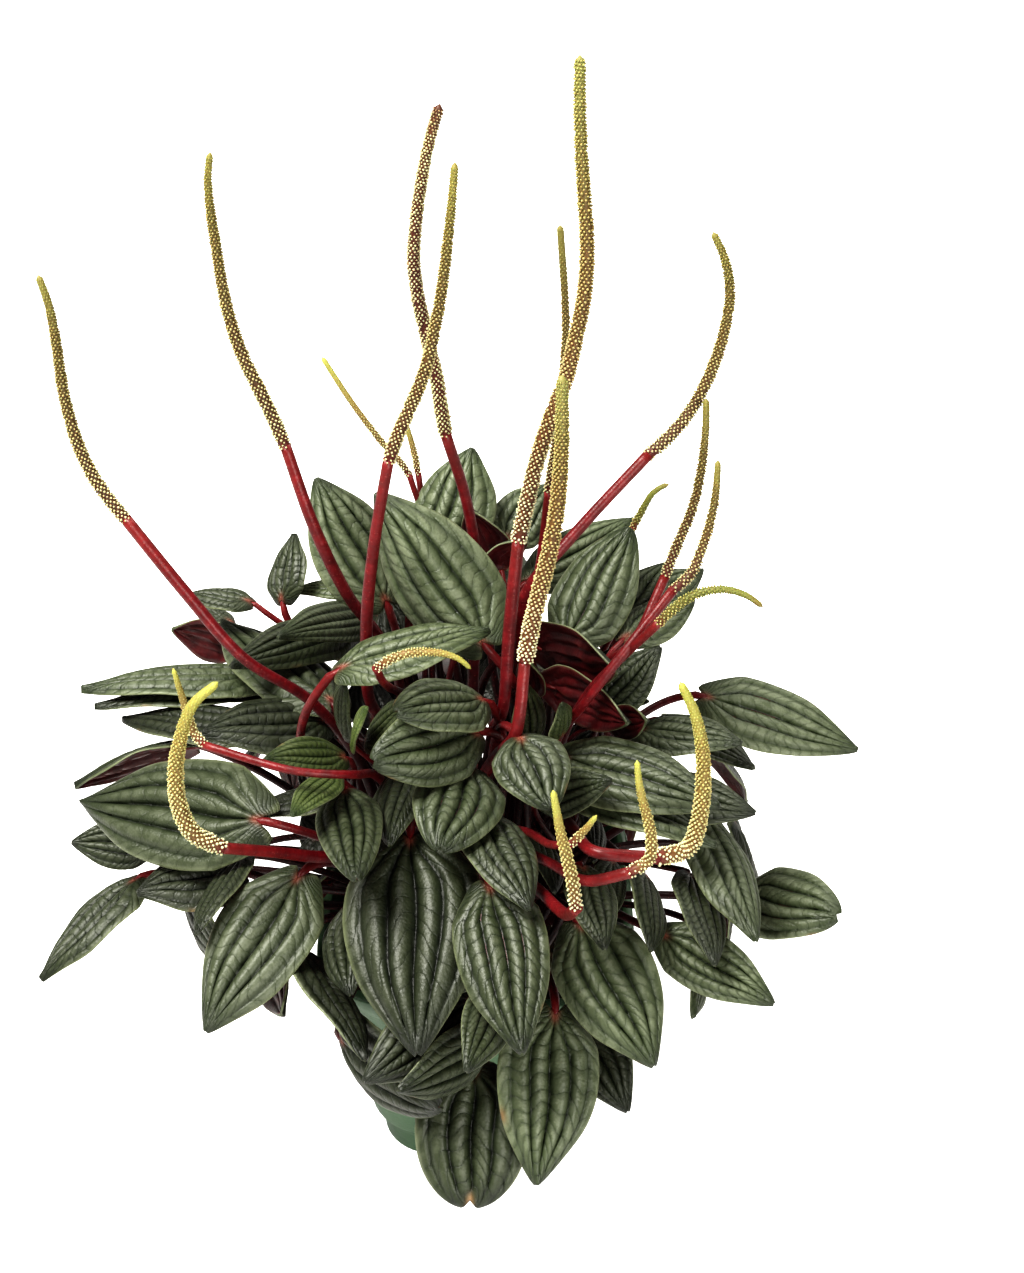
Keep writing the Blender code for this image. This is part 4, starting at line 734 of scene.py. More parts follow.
# Puts shapes into one mesh: points in millimetres, faces, material slots and named point attributes.
def makePiece(name, shapes, materials):
    starts = np.cumsum([0] + [len(shape["points"]) for shape in shapes])
    points = np.concatenate([shape["points"] for shape in shapes]) * mm
    quads = np.concatenate([shape["quads"] + start for shape, start in zip(shapes, starts)])
    triangles = np.concatenate([shape["triangles"] + start for shape, start in zip(shapes, starts)])
    slots = np.concatenate([shape[key] for key in ("quadSlots", "triangleSlots") for shape in shapes])
    mesh = bpy.data.meshes.new(name)
    mesh.vertices.add(len(points))
    mesh.vertices.foreach_set("co", points.astype(np.float32).ravel())
    mesh.loops.add(quads.size + triangles.size)
    loops = np.concatenate([quads.ravel(), triangles.ravel()])
    mesh.loops.foreach_set("vertex_index", loops.astype(np.int32))
    mesh.polygons.add(len(quads) + len(triangles))
    loopStarts = np.concatenate([np.arange(len(quads)) * 4, quads.size + np.arange(len(triangles)) * 3])
    mesh.polygons.foreach_set("loop_start", loopStarts.astype(np.int32))
    mesh.polygons.foreach_set("material_index", slots.astype(np.int32))
    mesh.polygons.foreach_set("use_smooth", np.ones(len(slots), bool))
    mesh.update(calc_edges=True)
    for mark in shapes[0]["marks"]:
        values = np.concatenate([shape["marks"][mark] for shape in shapes]).astype(np.float32)
        wide = values.shape[1] == 3
        attribute = mesh.attributes.new(mark, "FLOAT_VECTOR" if wide else "FLOAT", "POINT")
        attribute.data.foreach_set("vector" if wide else "value", values.ravel())
    for material in materials:
        mesh.materials.append(material)
    shapesMade["triangles"] += 2 * len(quads) + len(triangles)
    return inScene(name, mesh)


# Smooth wandering values: plane waves of about one length in random directions, added up, about -1 to 1.
def wander(points, length, seed, count=9, stretches=(0.75, 1.35)):
    draw = np.random.default_rng(seed)
    heading = draw.normal(size=(count, points.shape[-1]))
    heading /= np.linalg.norm(heading, axis=1, keepdims=True)
    phase = draw.random(count) * 2.0 * math.pi
    stretch = draw.uniform(*stretches, count)
    angle = points @ (heading * (2.0 * math.pi / length * stretch)[:, None]).T + phase
    return np.sin(angle).sum(axis=-1) / math.sqrt(count)


def smoothStep(low, high, value):
    share = np.clip((value - low) / (high - low), 0.0, 1.0)
    return share * share * (3.0 - 2.0 * share)


# At each point of a path: its heading and the two directions square to it.
def pathFrame(path):
    ahead = unitRows(np.gradient(path, axis=0))
    side = unitRows(np.cross(ahead, sideways))
    return ahead, side, np.cross(ahead, side)


# Circles round a path: each turned to the path's heading, of one radius a point or one a corner.
def tubeRings(path, radii, sides):
    spokes = spokesOf(*pathFrame(path)[1:], roundAngles(sides))
    return path[:, None] + np.broadcast_to(radii, (len(path), sides))[..., None] * spokes


# ---- leaves

leafLook = {
    # Least width, rows, columns, and how many columns each one of the lower skin stands for
    "grids": ((22.5, 47, 49, 1), (15.2, 39, 41, 2), (0.0, 27, 33, 2)), "evenRows": 0.45, "tipRows": 0.992,
    "thickness": 0.62, "rimThin": 0.55, "rimFrom": (0.94, 0.99), "rimEnd": (0.85, 0.97), "rimTip": 0.6,
    "footRim": (0.30, 1.0), "footRimEnd": (0.0, 0.02), "veinStand": 1.6,
    # Grooves from the midrib out, how deep each is, and how they fan out from the base and wander
    "grooves": (0.0, 0.40, 0.76, 1.12), "depths": (1.0, 0.95, 0.55, 0.25), "ridge": 0.145,
    "grooveWidth": 0.13, "grooveShare": 0.55, "level": 0.55, "fan": 0.24, "fanLeast": 0.12,
    "wander": 0.055, "wanderTurns": 1.1, "wanderStart": 6.0,
    "fadeIn": (-0.04, 0.12), "fadeOut": (0.74, 1.02), "shoulder": 0.10, "shoulderPower": 0.9,
    # Wrinkles: how high, how far apart, how slanted; their bends and patches are waves
    "wrinkle": 0.034, "wrinkleLength": 0.30, "slant": 0.8, "wrinklePower": 0.5, "wrinkleMean": 0.76,
    "bends": ((1.5, 5.0, 3.0, 6.0, 1), (0.9, 9.0, 11.0, 5.0, 2)), "patches": (0.40, 4.0, 7.0, 8.0, 1),
    "wave": 0.05, "waveTurns": 1.7, "tilt": 0.10, "sway": 0.05, "shoulderMean": 0.4, "flatten": 0.7,
    "endTone": 0.45,
    "lobeRound": 0.60, "lobeSpan": 0.20, "lobe": 0.075, "lobePower": 1.2,
    "tipDraw": 0.12, "tipDrawFrom": (0.62, 0.95), "ballFrom": 0.42, "notchFrom": (0.75, 1.0),
    "notchWidth": 0.35, "foldFrom": (-0.05, 0.2),
    # The petiole's mark on the blade, and scars: their reach along and across, in millimetres
    "blushAt": 0.6, "blush": (1.5, 1.1), "scar": (1.6, 0.9), "smallScar": (0.9, 0.5),
    "scarShare": 0.3, "scarFrom": (0.55, -1.0), "scarTo": (0.95, 1.0),
    # On the next line, the last pair: the depths in the dome over which a leaf's painted shade fades,
    # full within the first and gone past the second.
    "seed": 4000, "apart": 17.0, "quilt": (0.55, 0.45), "paintedLight": 0.04, "paintedShadeFrom": (0.60, 1.0),
}

# Leaves of their own kind: how young each is, how much painted light each has, a lit leaf being painted
# paler, how rounded, folded and quilted, and what befell its edge.
leafKinds = {
    "young_left": {"young": 0.35}, "young_up": {"young": 1.0}, "young_high": {"young": 0.15},
    "young_right": {"young": 0.15}, "centre_bright": {"young": 0.1, "paintedLight": 0.5},
    "centre_round_high": {"paintedLight": 0.25, "round": 0.6},
    "centre_round": {"paintedLight": 0.40, "round": 0.5, "quilt": 0.5},
    "centre_cup": {"paintedLight": 0.25, "round": 0.5}, "erect_left": {"young": 0.4},
    "erect_right": {"young": 0.3}, "erect_top": {"young": 0.3},
    "left_young_high": {"young": 0.3, "paintedLight": 0.4}, "inner_olive": {"young": 0.45},
    "high_great": {"paintedLight": 0.85, "fold": 0.45, "quilt": 0.7}, "high_left": {"paintedLight": 0.8, "fold": 0.2},
    "high_back": {"paintedLight": 0.9, "fold": 0.3}, "high_back_right": {"paintedLight": 0.6},
    "high_pale": {"paintedLight": 0.7, "fold": 0.2}, "high_right": {"paintedLight": 0.45, "round": 0.3, "fold": 0.2},
    "high_right_tip": {"paintedLight": 0.5}, "high_right_low": {"paintedLight": 0.4},
    "left_broad_high": {"paintedLight": 0.4, "fold": 0.2}, "left_long": {"paintedLight": 0.6},
    "left_pale_narrow": {"paintedLight": 0.6}, "right_far": {"paintedLight": 1.0, "quilt": 0.45},
    "right_back": {"paintedLight": 0.4}, "left_great": {"paintedLight": 0.25, "quilt": 0.35},
    "right_low_pale": {"paintedLight": 0.9}, "left_low_great": {"paintedLight": 0.5, "quilt": 0.35},
    "right_great": {"paintedLight": 0.2, "quilt": 0.7}, "front_great": {"paintedLight": 0.0, "quilt": 0.5},
    "right_second": {"paintedLight": 0.45}, "front_right": {"paintedLight": 0.55},
    "front_round": {"paintedLight": 0.15, "round": 1.0, "notch": 0.05, "scar": (0.985, 0.0)},
    "low_round": {"round": 0.6}, "front_hanging": {"paintedLight": 0.65, "scar": (0.62, 0.98)},
    "right_pointed": {"paintedLight": 0.6}, "right_dark_back": {"paintedLight": 0.3},
    "right_low_curl": {"paintedLight": 0.6, "fold": 0.3},
    "right_round": {"paintedLight": 0.95, "round": 0.6, "quilt": 0.4},
    "inner_small_front": {"round": 0.3}, "centre_heart": {"paintedLight": 0.2, "round": 0.3},
}


# One where the values are nought, falling off on all sides.
def bell(*away):
    return np.exp(-sum(part ** 2 for part in away))


# Even places from 0 to 1, drawn closer together towards both ends.
def closerEnds(count):
    even = np.linspace(0.0, 1.0, count)
    share = leafLook["evenRows"]
    return share * even + (1.0 - share) * (0.5 - 0.5 * np.cos(np.pi * even))


# Outline of the fine blade: the coarse one with its lobes rounded by a square root and its tip drawn
# in. A round leaf's outline nears a half ellipse instead.
def fineHalfWidth(s, roundness):
    look, start = leafLook, leafLook["ballFrom"]
    rounding = 1.0 - look["lobeRound"] * (1.0 - np.sqrt(np.clip(s / look["lobeSpan"], 0.0, 1.0)))
    outline = halfWidth(s) * rounding
    outline = outline * (1.0 - look["tipDraw"] * smoothStep(*look["tipDrawFrom"], s))
    ball = np.sqrt(np.clip(1.0 - ((s - start) / (1.0 - start)) ** 2, 0.0, 1.0))
    return np.where(s > start, outline * (1.0 - roundness) + ball * roundness, outline)


# The coarse blade's bend, with puffed ridges: half a sine between sunken veins, less a bell curve at
# each vein. The veins fan out from the base and wander a little. Slanting wrinkles cross the ridges,
# and a slow wave runs along the edge.
def fineBlade(s, t, length, width, kind, draw):
    look, half = leafLook, 0.5 * width
    lean = draw.uniform(-1.0, 1.0, 6)

    def ripples(wave):
        amount, perS, perT, perLean, which = wave
        return amount * np.sin(perS * s + perT * t + perLean * lean[which])

    wandering = look["wander"] * np.sin(2.0 * np.pi * (look["wanderTurns"] * s + lean[0]))
    side = np.abs(t + wandering * (1.0 - t ** 2) * np.clip(look["wanderStart"] * s, 0.0, 1.0))
    side = side / np.sqrt(np.clip(s / look["fan"], look["fanLeast"], 1.0))
    phase = np.interp(side, look["grooves"], np.arange(len(look["grooves"])))
    depth = np.interp(phase, np.arange(len(look["grooves"])), look["depths"])
    away = np.abs(phase - np.round(phase))
    groove = look["grooveShare"] * bell(away / look["grooveWidth"])
    relief = 1.0 - depth * (groove + (1.0 - look["grooveShare"]) * (1.0 - np.sin(np.pi * away)))
    fade = smoothStep(*look["fadeIn"], s) * (1.0 - smoothStep(*look["fadeOut"], s))
    puff = relief * fade
    slant = (s * length / half - look["slant"] * side) / look["wrinkleLength"]
    bent = sum(ripples(wave) for wave in look["bends"])
    wrinkle = np.abs(np.sin(np.pi * slant + bent)) ** look["wrinklePower"] - look["wrinkleMean"]
    wrinkle *= (1.0 - look["patches"][0] + ripples(look["patches"])) * (1.0 - np.abs(t) ** 4)
    outline = fineHalfWidth(s, kind.get("round", 0.0))
    lobe = look["lobe"] * np.sin(0.5 * np.pi * np.abs(t)) ** look["lobePower"]
    along = length * (s - lobe * (1.0 - s) ** blade["lobeUp"])
    notch = smoothStep(*look["notchFrom"], s) * bell(t / look["notchWidth"])
    along -= length * kind.get("notch", 0.0) * notch
    arc = np.sin(np.pi * s)
    up = -blade["arch"] * length * s ** 2 - blade["cup"] * half * t ** 2
    local = half * np.clip(outline, 0.0, 1.0) ** look["flatten"]
    crossing = look["wrinkle"] * kind.get("quilt", 0.8) * wrinkle
    up += local * (look["ridge"] * (puff - look["level"] * fade) + crossing * puff * fade)
    shoulder = np.sin(np.pi * np.abs(t) ** look["shoulderPower"]) - look["shoulderMean"]
    up += local * look["shoulder"] * fade * shoulder
    up += half * look["wave"] * t ** 4 * np.sin(2.0 * np.pi * (look["waveTurns"] * s + lean[3])) * arc
    up += half * look["tilt"] * lean[4] * t * arc
    fold = kind.get("fold", 0.0)
    up -= half * fold * np.abs(t) * outline * smoothStep(*look["foldFrom"], s)
    across = half * t * outline * np.sqrt(1.0 - 0.5 * fold ** 2)
    across += half * look["sway"] * lean[5] * arc * (1.0 - np.abs(t)) * np.clip(4 * s, 0, 1)
    tone = puff + look["endTone"] * (1.0 - fade)
    return np.stack([across, along, up], axis=-1), tone, outline, slant + bent / np.pi


# One closed blade: the rings run over the upper skin and back under the lower one.
def bladeShape(name, number, axes, base, length, width):
    look, draw, kind = leafLook, np.random.default_rng(leafLook["seed"] + number), leafKinds.get(name, {})
    rows, columns, step = next(grid[1:] for grid in look["grids"] if width >= grid[0])
    s, t = np.meshgrid(closerEnds(rows) * look["tipRows"], np.linspace(-1.0, 1.0, columns), indexing="ij")
    flat, puff, outline, vein = fineBlade(s, t, length, width, kind, draw)
    middle = base + flat @ axes
    normal = unitRows(np.cross(np.gradient(middle, axis=1), np.gradient(middle, axis=0)))
    rim = smoothStep(*look["rimFrom"], np.abs(t))
    rim = rim * (1.0 - look["rimTip"] * smoothStep(*look["rimEnd"], s))
    footRim = smoothStep(*look["footRim"], np.abs(t)) * (1.0 - smoothStep(*look["footRimEnd"], s))
    rim = np.maximum(rim, footRim)
    half = 0.5 * look["thickness"] * (1.0 - look["rimThin"] * rim)[..., None]
    veined = 1.0 + look["veinStand"] * np.clip(1.0 - puff, 0.0, 1.0)[..., None]
    lower = (middle - half * veined * normal)[:, ::-step]
    rings = np.concatenate([middle + half * normal, lower], axis=1)
    pole = base + np.array([0.0, length * (1.0 - kind.get("notch", 0.0)), -blade["arch"] * length]) @ axes
    wide = 0.5 * width
    across = t * outline * wide
    blush = bell((s * length - look["blushAt"]) / look["blush"][0], across / look["blush"][1])
    scar = np.zeros_like(s)
    if "scar" in kind:
        at, reach = kind["scar"], look["scar"]
        scar = bell((s - at[0]) * length / reach[0], (t - at[1]) * outline * wide / reach[1])
    elif draw.random() < look["scarShare"]:
        at, reach = draw.uniform(look["scarFrom"], look["scarTo"]), look["smallScar"]
        scar = bell((s - at[0]) * length / reach[0], (t - np.sign(at[1])) * wide / reach[1])
    tone = draw.uniform(-1.0, 1.0)
    quilt = kind.get("quilt", look["quilt"][0] + look["quilt"][1] * draw.random())
    # Painted shade: a leaf whose middle lies deep inside the dome is painted darker, as the shade inside
    # the bush.
    depth = np.linalg.norm((base + axes[1] * 0.5 * length - dome["centre"]) / dome["tip"])
    place = np.stack([across, s * length, np.full_like(s, number * look["apart"])], axis=-1) * mm
    marks = {"ridge": puff, "vein": vein, "rim": rim, "blush": blush, "scar": scar, "place": place}
    # Each the same all over a leaf: its painted shade deep in the bush, its own tone, quilting and youth,
    # and its share of painted light.
    whole = {"paintedShade": 1.0 - smoothStep(*look["paintedShadeFrom"], depth), "tone": tone, "quilt": quilt,
             "young": kind.get("young", 0.0), "paintedLight": kind.get("paintedLight", look["paintedLight"])}
    marks.update({key: np.full_like(s, value) for key, value in whole.items()})
    marks = {key: np.concatenate([mark, mark[:, ::-step]], axis=1) for key, mark in marks.items()}
    slots = np.array([0] * columns + [1] * (lower.shape[1] - 1) + [0])
    sunk = 0.5 * look["thickness"] + petioleLook["sink"]
    under = middle[:, columns // 2] - sunk * normal[:, columns // 2]
    return loft(rings, marks, slots, zipStart=columns, poles=(None, pole)), under


# For the red parts, painted shade: over the span given in each look below, a share of the way out to the
# leaves' bases, the red brightens from a painted near-black deep in the bush.
redLook = {"slot": 2, "grain": 6.0, "apart": 13.0, "toneTurn": 2.4}
petioleLook = {
    "rings": 28, "sides": 10, "paintedShadeSpan": (0.74, 1.14), "into": (0.015, 0.055, 0.11), "sink": 0.12,
    "endRadius": 0.30, "thinOver": 2.6, "swell": 0.14, "swellOver": 4.0, "curve": 22,
}
stalkLook = {"rings": 60, "sides": 14, "paintedShadeSpan": (0.66, 1.08), "swell": 0.06, "swells": 9.0}
crownLook = {
    "rings": 26, "sides": 28, "paintedShadeSpan": (0.66, 1.08), "girth": 0.94, "scars": 0.045, "scarsAround": 4.0,
    "scarTwist": 22.0, "scarRows": 40.0, "topNarrow": 0.5, "topPower": 8,
}


# A closed red tube, with the same marks as a blade has: blush is the share of the way along it.
def redShape(path, radii, look, number):
    run = runAlong(path)
    blank = np.zeros((len(path), look["sides"]))
    angle = blank + np.arange(look["sides"]) / look["sides"] * redLook["grain"]
    depth = np.linalg.norm((path - dome["centre"]) / dome["base"], axis=1)
    marks = {name: blank for name in ("ridge", "vein", "rim", "scar", "young", "paintedLight", "quilt")}
    marks["blush"] = blank + (run / run[-1])[:, None]
    # Painted shade: nearly black deep in the bush, lifting towards the leaves.
    marks["paintedShade"] = blank + 1.0 - smoothStep(*look["paintedShadeSpan"], depth)[:, None]
    marks["tone"] = blank + np.sin(number * redLook["toneTurn"])
    place = [angle, blank + run[:, None], blank + number * redLook["apart"]]
    marks["place"] = np.stack(place, axis=-1) * mm
    return loft(tubeRings(path, radii, look["sides"]), marks, np.full(look["sides"], redLook["slot"]))


# A round petiole along its curve, which runs on under the midrib and thins out there.
def petioleShape(number, under, length, width, curve):
    look = petioleLook
    ends = readOff(look["into"], closerEnds(len(under)) * leafLook["tipRows"], under)
    path = smoothLine(np.vstack([curve, ends]), look["rings"])
    run = runAlong(path)
    thin = smoothStep(0.0, look["into"][-1] * length + look["thinOver"], run[-1] - run)
    radii = look["endRadius"] + (petioleRadius(width) - look["endRadius"]) * thin
    radii *= 1.0 + look["swell"] * np.exp(-run / look["swellOver"])
    return redShape(path, radii[:, None], look, number)


# A round flower stalk, a little uneven, from the crown up into the foot of its spike.
def stalkShape(number, red, radius):
    path = smoothLine(red, stalkLook["rings"])
    share = np.linspace(0.0, 1.0, len(path))
    radii = radius * (1.0 + stalkLook["swell"] * np.sin(stalkLook["swells"] * share + number))
    return redShape(path, radii[:, None], stalkLook, number)


# A short fleshy stem: a tube that leans in at its top, with low leaf scars round it.
def stemShape(number, place):
    look = crownLook
    low = soil["top"] - stem["depth"] + pot["gap"]
    height = np.linspace(low, stem["top"], look["rings"])
    share = ((height - low) / (stem["top"] - low))[:, None]
    path = np.stack([np.full_like(height, place[0]), np.full_like(height, place[1]), height], axis=1)
    around = look["scarsAround"] * roundAngles(look["sides"])
    scars = np.cos(around + look["scarTwist"] * share) * np.sin(look["scarRows"] * share)
    radii = stem["radius"] * (1.0 - look["topNarrow"] * share ** look["topPower"])
    return redShape(path, radii * (look["girth"] + look["scars"] * scars), look, number)


# ---- flower spikes

spikeLook = {
    "rodSides": 20, "rodStep": 0.8, "unevenness": 0.04, "core": 0.76, "coreBare": 0.4, "taperPower": 1.7,
    "footGirth": 0.88, "tipRound": 1.6, "tipLeast": 0.01, "foot": 2.5, "footMark": 1.6, "overlap": 0.7,
    # Florets: how many round a rod of the middling radius, and how far apart their rows are
    "middling": 2.0, "around": 9.0, "aroundLeast": 6, "row": 0.76, "rowPower": 0.3, "jitter": 0.10,
    "skew": 0.035, "footGaps": 0.25, "sparse": 0.03, "sizes": (0.75, 1.15),
    "width": 0.365, "widthPower": 0.4, "stand": 1.75, "bud": 0.62, "budStand": 0.60, "tipShare": 0.3,
    "ripeLoss": 0.25, "ripeOver": 0.35, "seed": 7000,
    "floretSides": 5, "profile": ((0.10, 1.0), (0.78, 0.70)), "bottom": -0.5, "lowPaint": 0.3,
}

# How far up a spike is beaded, how wide its tip is over its foot, and which paint it has.
spikeKinds = {
    "far_left": (1.05, 0.50, "olive"), "left_tall": (1.15, 0.45, "olive"),
    "middle_left": (1.10, 0.50, "olive"), "middle_tall": (1.45, 0.62, "brown"),
    "back_pale": (0.70, 0.70, "gold"), "back_tiny": (0.70, 0.70, "gold"),
    "tallest": (1.30, 0.60, "ochre"), "behind_tall": (1.00, 0.80, "olive"),
    "white_beaded": (1.10, 0.62, "ochre"), "right_tall": (1.15, 0.50, "olive"),
    "right_small": (0.60, 0.60, "green"), "right_pair_back": (1.00, 0.60, "olive"),
    "right_pair_front": (0.95, 0.55, "olive"), "right_branch": (0.85, 0.50, "green"),
    "short_yellow": (0.80, 0.45, "gold"), "left_hook": (0.90, 0.42, "gold"),
    "left_small_hook": (0.70, 0.42, "gold"), "right_hook": (0.90, 0.42, "gold"),
    "right_small_hook": (0.80, 0.42, "gold"), "front_short": (0.80, 0.45, "gold"),
    "front_tiny": (0.60, 0.45, "gold"),
}


# Closed round florets, all at once: two rings of corners on each, a point above and one below.
def floretShape(centre, out, ahead, width, stand, marks):
    sides = spikeLook["floretSides"]
    spokes = spokesOf(np.cross(ahead, out), ahead, roundAngles(sides))

    def standing(height):
        return (centre + out * (stand * height)[:, None])[:, None]

    rings = [standing(height) + spokes * (width * share)[:, None, None]
             for height, share in spikeLook["profile"]]
    points = np.concatenate(rings + [standing(spikeLook["bottom"]), standing(1.0)], axis=1)
    here = np.arange(sides)
    after = (here + 1) % sides
    quads = np.stack([here, after, sides + after, sides + here], axis=-1)
    low, high = (np.full(sides, 2 * sides + end) for end in (0, 1))
    fans = np.concatenate([np.stack([after, here, low], axis=-1),
                           np.stack([sides + here, sides + after, high], axis=-1)])
    starts = np.arange(len(centre))[:, None, None] * points.shape[1]
    quads = (quads[None] + starts).reshape(-1, 4)
    fans = (fans[None] + starts).reshape(-1, 3)
    level = np.concatenate([np.full(sides, spikeLook["lowPaint"]), np.ones(sides), [0.0, 1.0]])
    spread = {"bead": np.tile(level, len(centre))[:, None]}
    spread.update({name: np.repeat(mark, points.shape[1])[:, None] for name, mark in marks.items()})
    return {"points": points.reshape(-1, 3), "quads": quads, "quadSlots": np.zeros(len(quads), int),
            "triangles": fans, "triangleSlots": np.zeros(len(fans), int), "marks": spread}


# A rod and its florets, in rows round it, each row turned half a step from the last. Some are missing
# at the foot, and towards the tip they are buds, which are smaller and lie flatter.
def spikeShapes(name, number, red, beads, radius):
    look, draw = spikeLook, np.random.default_rng(spikeLook["seed"] + number)
    beaded, taper = spikeKinds[name][:2]
    line = np.vstack([red[-1] - unit(red[-1] - red[-2]) * look["overlap"], beads[1:]])
    run = np.linalg.norm(np.diff(line, axis=0), axis=1).sum()
    path = smoothLine(line, int(run / look["rodStep"]))
    frames = pathFrame(path)
    alongRod = np.linspace(0.0, run, len(path))
    girth = radius / look["middling"]

    def ripeAt(share):
        ending = smoothStep(beaded - look["ripeOver"], beaded, share)
        return (1.0 - look["ripeLoss"] * share) * (1.0 - ending)

    def footAt(along):
        return 1.0 - smoothStep(0.0, look["foot"] * look["footMark"], along)

    def rodAt(along):
        share = along / run
        widening = look["footGirth"] + (1.0 - look["footGirth"]) * smoothStep(0.0, look["foot"], along)
        size = radius * (1.0 - (1.0 - taper) * share ** look["taperPower"]) * widening
        roundness = np.clip((run - along) / (look["tipRound"] * radius * taper), 0.0, 1.0)
        size = size * np.sqrt(np.maximum(1.0 - (1.0 - roundness) ** 2, look["tipLeast"]))
        covered = look["coreBare"] + (1.0 - look["coreBare"]) * ripeAt(share)
        return size * (1.0 - (1.0 - look["core"]) * covered)

    blank = np.zeros((len(path), look["rodSides"]))
    uneven = 1.0 + look["unevenness"] * draw.normal(size=blank.shape)
    marks = {"bead": blank, "share": blank + (alongRod / run)[:, None],
             "foot": blank + footAt(alongRod)[:, None], "tone": blank}
    rings = tubeRings(path, rodAt(alongRod)[:, None] * uneven, look["rodSides"])
    rod = loft(rings, marks, np.zeros(look["rodSides"], int))

    count = max(look["aroundLeast"], int(round(look["around"] * girth)))
    row = look["row"] * girth ** look["rowPower"]
    i, j = np.meshgrid(np.arange(int((run - 0.5) / row)), np.arange(count), indexing="ij")
    i, j = i.ravel(), j.ravel()
    away = draw.uniform(-1.0, 1.0, (2, len(i))) * look["jitter"]
    along = (i + 0.5 + away[0]) * row
    angle = (j + 0.5 * (i % 2) + away[1]) * 2.0 * np.pi / count + look["skew"] * along
    kept = draw.random(len(i)) > np.maximum(look["footGaps"] * footAt(along), look["sparse"])
    size = draw.uniform(*look["sizes"], len(i))
    tone = draw.uniform(-1.0, 1.0, len(i))
    along, angle, size, tone = (values[kept] for values in (along, angle, size, tone))
    share = along / run
    ripe = ripeAt(share)
    ahead, side, top, middle = (readOff(along, alongRod, values) for values in (*frames, path))
    out = np.cos(angle)[:, None] * side + np.sin(angle)[:, None] * top
    bud = look["bud"] + (1.0 - look["bud"]) * ripe
    thick = rodAt(along)
    narrowing = np.clip(thick / (0.5 * radius), look["tipShare"], 1.0)
    width = look["width"] * girth ** look["widthPower"] * size * bud * narrowing
    stand = width * (look["budStand"] + (look["stand"] - look["budStand"]) * ripe)
    return [rod, floretShape(middle + out * thick[:, None], out, ahead, width, stand,
                             {"share": share, "foot": footAt(along), "tone": tone})]


# ---- pot and soil

# A square with rounded corners, as corner arcs in order round it.
def roundedSquare(width, z, steps):
    radius = pot["cornerRound"] * width
    inner = 0.5 * width - radius
    quarter = np.repeat(np.arange(4), steps) * 0.5 * np.pi
    angle = quarter + np.tile(np.linspace(0.0, 0.5 * np.pi, steps), 4)
    x = inner * (np.cos(quarter) - np.sin(quarter)) + radius * np.cos(angle)
    y = inner * (np.sin(quarter) + np.cos(quarter)) + radius * np.sin(angle)
    return np.stack([x, y, np.full_like(angle, z)], axis=1)


# The same ring with its points evenly spread, straight sides too.
def evenSquare(width, z):
    ring = roundedSquare(width, z, 2 * pot["cornerSteps"])
    ring = np.vstack([ring, ring[:1]])
    run = runAlong(ring)
    return readOff(np.arange(soil["around"]) * run[-1] / soil["around"], run, ring)


def potWidth(z):
    low = pot["footWidth"] + 2.0 * pot["footStep"]
    high = pot["topWidth"] - 2.0 * pot["rimOut"]
    return low + (high - low) * (z - pot["footHeight"]) / (pot["height"] - pot["footHeight"])


# Widths and heights of foot, step, sloping wall and rim, then down the inside to the floor. The small
# offsets round the edges off.
def potProfile():
    foot, step, top, brim = pot["footWidth"], pot["footHeight"], pot["height"], pot["topWidth"]
    edge, flare, lip, out = pot["footEdge"], pot["footFlare"], pot["rimEdge"], 2.0 * pot["rimOut"]
    inner, rimLow, bottom = -2.0 * pot["wall"], pot["height"] - pot["rimHeight"], pot["floor"]
    atStep, atRim = potWidth(step), potWidth(rimLow)
    outer = [(foot - 1.5 * edge, 0.0), (foot - 0.5 * edge, 0.12), (foot - 0.1, 0.45 * edge), (foot, edge),
             (foot + 0.5 * flare, 0.5 * step), (foot + flare, step - flare),
             (foot + 1.6 * flare, step - 0.45 * flare), (atStep - 0.9, step - 0.1),
             (atStep - 0.2, step + 0.15), (potWidth(step + 0.8), step + 0.8)]
    wall = [(potWidth(z), z) for z in np.linspace(step + 6.0, rimLow - 0.6, 8)]
    rim = [(atRim + 0.25 * out, rimLow + 0.05), (atRim + 0.85 * out, rimLow + 0.2),
           (atRim + out, rimLow + edge), (brim - 0.1, top - 3.0),
           (brim, top - lip), (brim - 0.5 * lip, top - 0.3 * lip),
           (brim - 2.0 * lip, top), (brim - out + inner + 0.4, top), (brim - out + inner, top - 0.3)]
    inside = [(potWidth(z) + inner, z) for z in np.linspace(top - 4.0, step + 2.0, 7)]
    ground = [(foot + flare + inner, step), (foot + inner + 0.4, bottom + 1.0),
              (foot + inner - 0.6, bottom + 0.2), (foot + inner - 2.0, bottom)]
    return outer + wall + rim + inside + ground


def potShape():
    rings = np.stack([roundedSquare(width, z, pot["cornerSteps"]) for width, z in potProfile()])
    low = roundedSquare(0.96 * (pot["footWidth"] - 4.0), 0.0, pot["cornerSteps"])[None]
    poles = (np.array([0.0, 0.0, 0.0]), np.array([0.0, 0.0, pot["floor"]]))
    rings = np.concatenate([low, rings])
    return loft(rings, {"wear": np.zeros(rings.shape[:2])}, np.zeros(rings.shape[1], int), poles=poles)


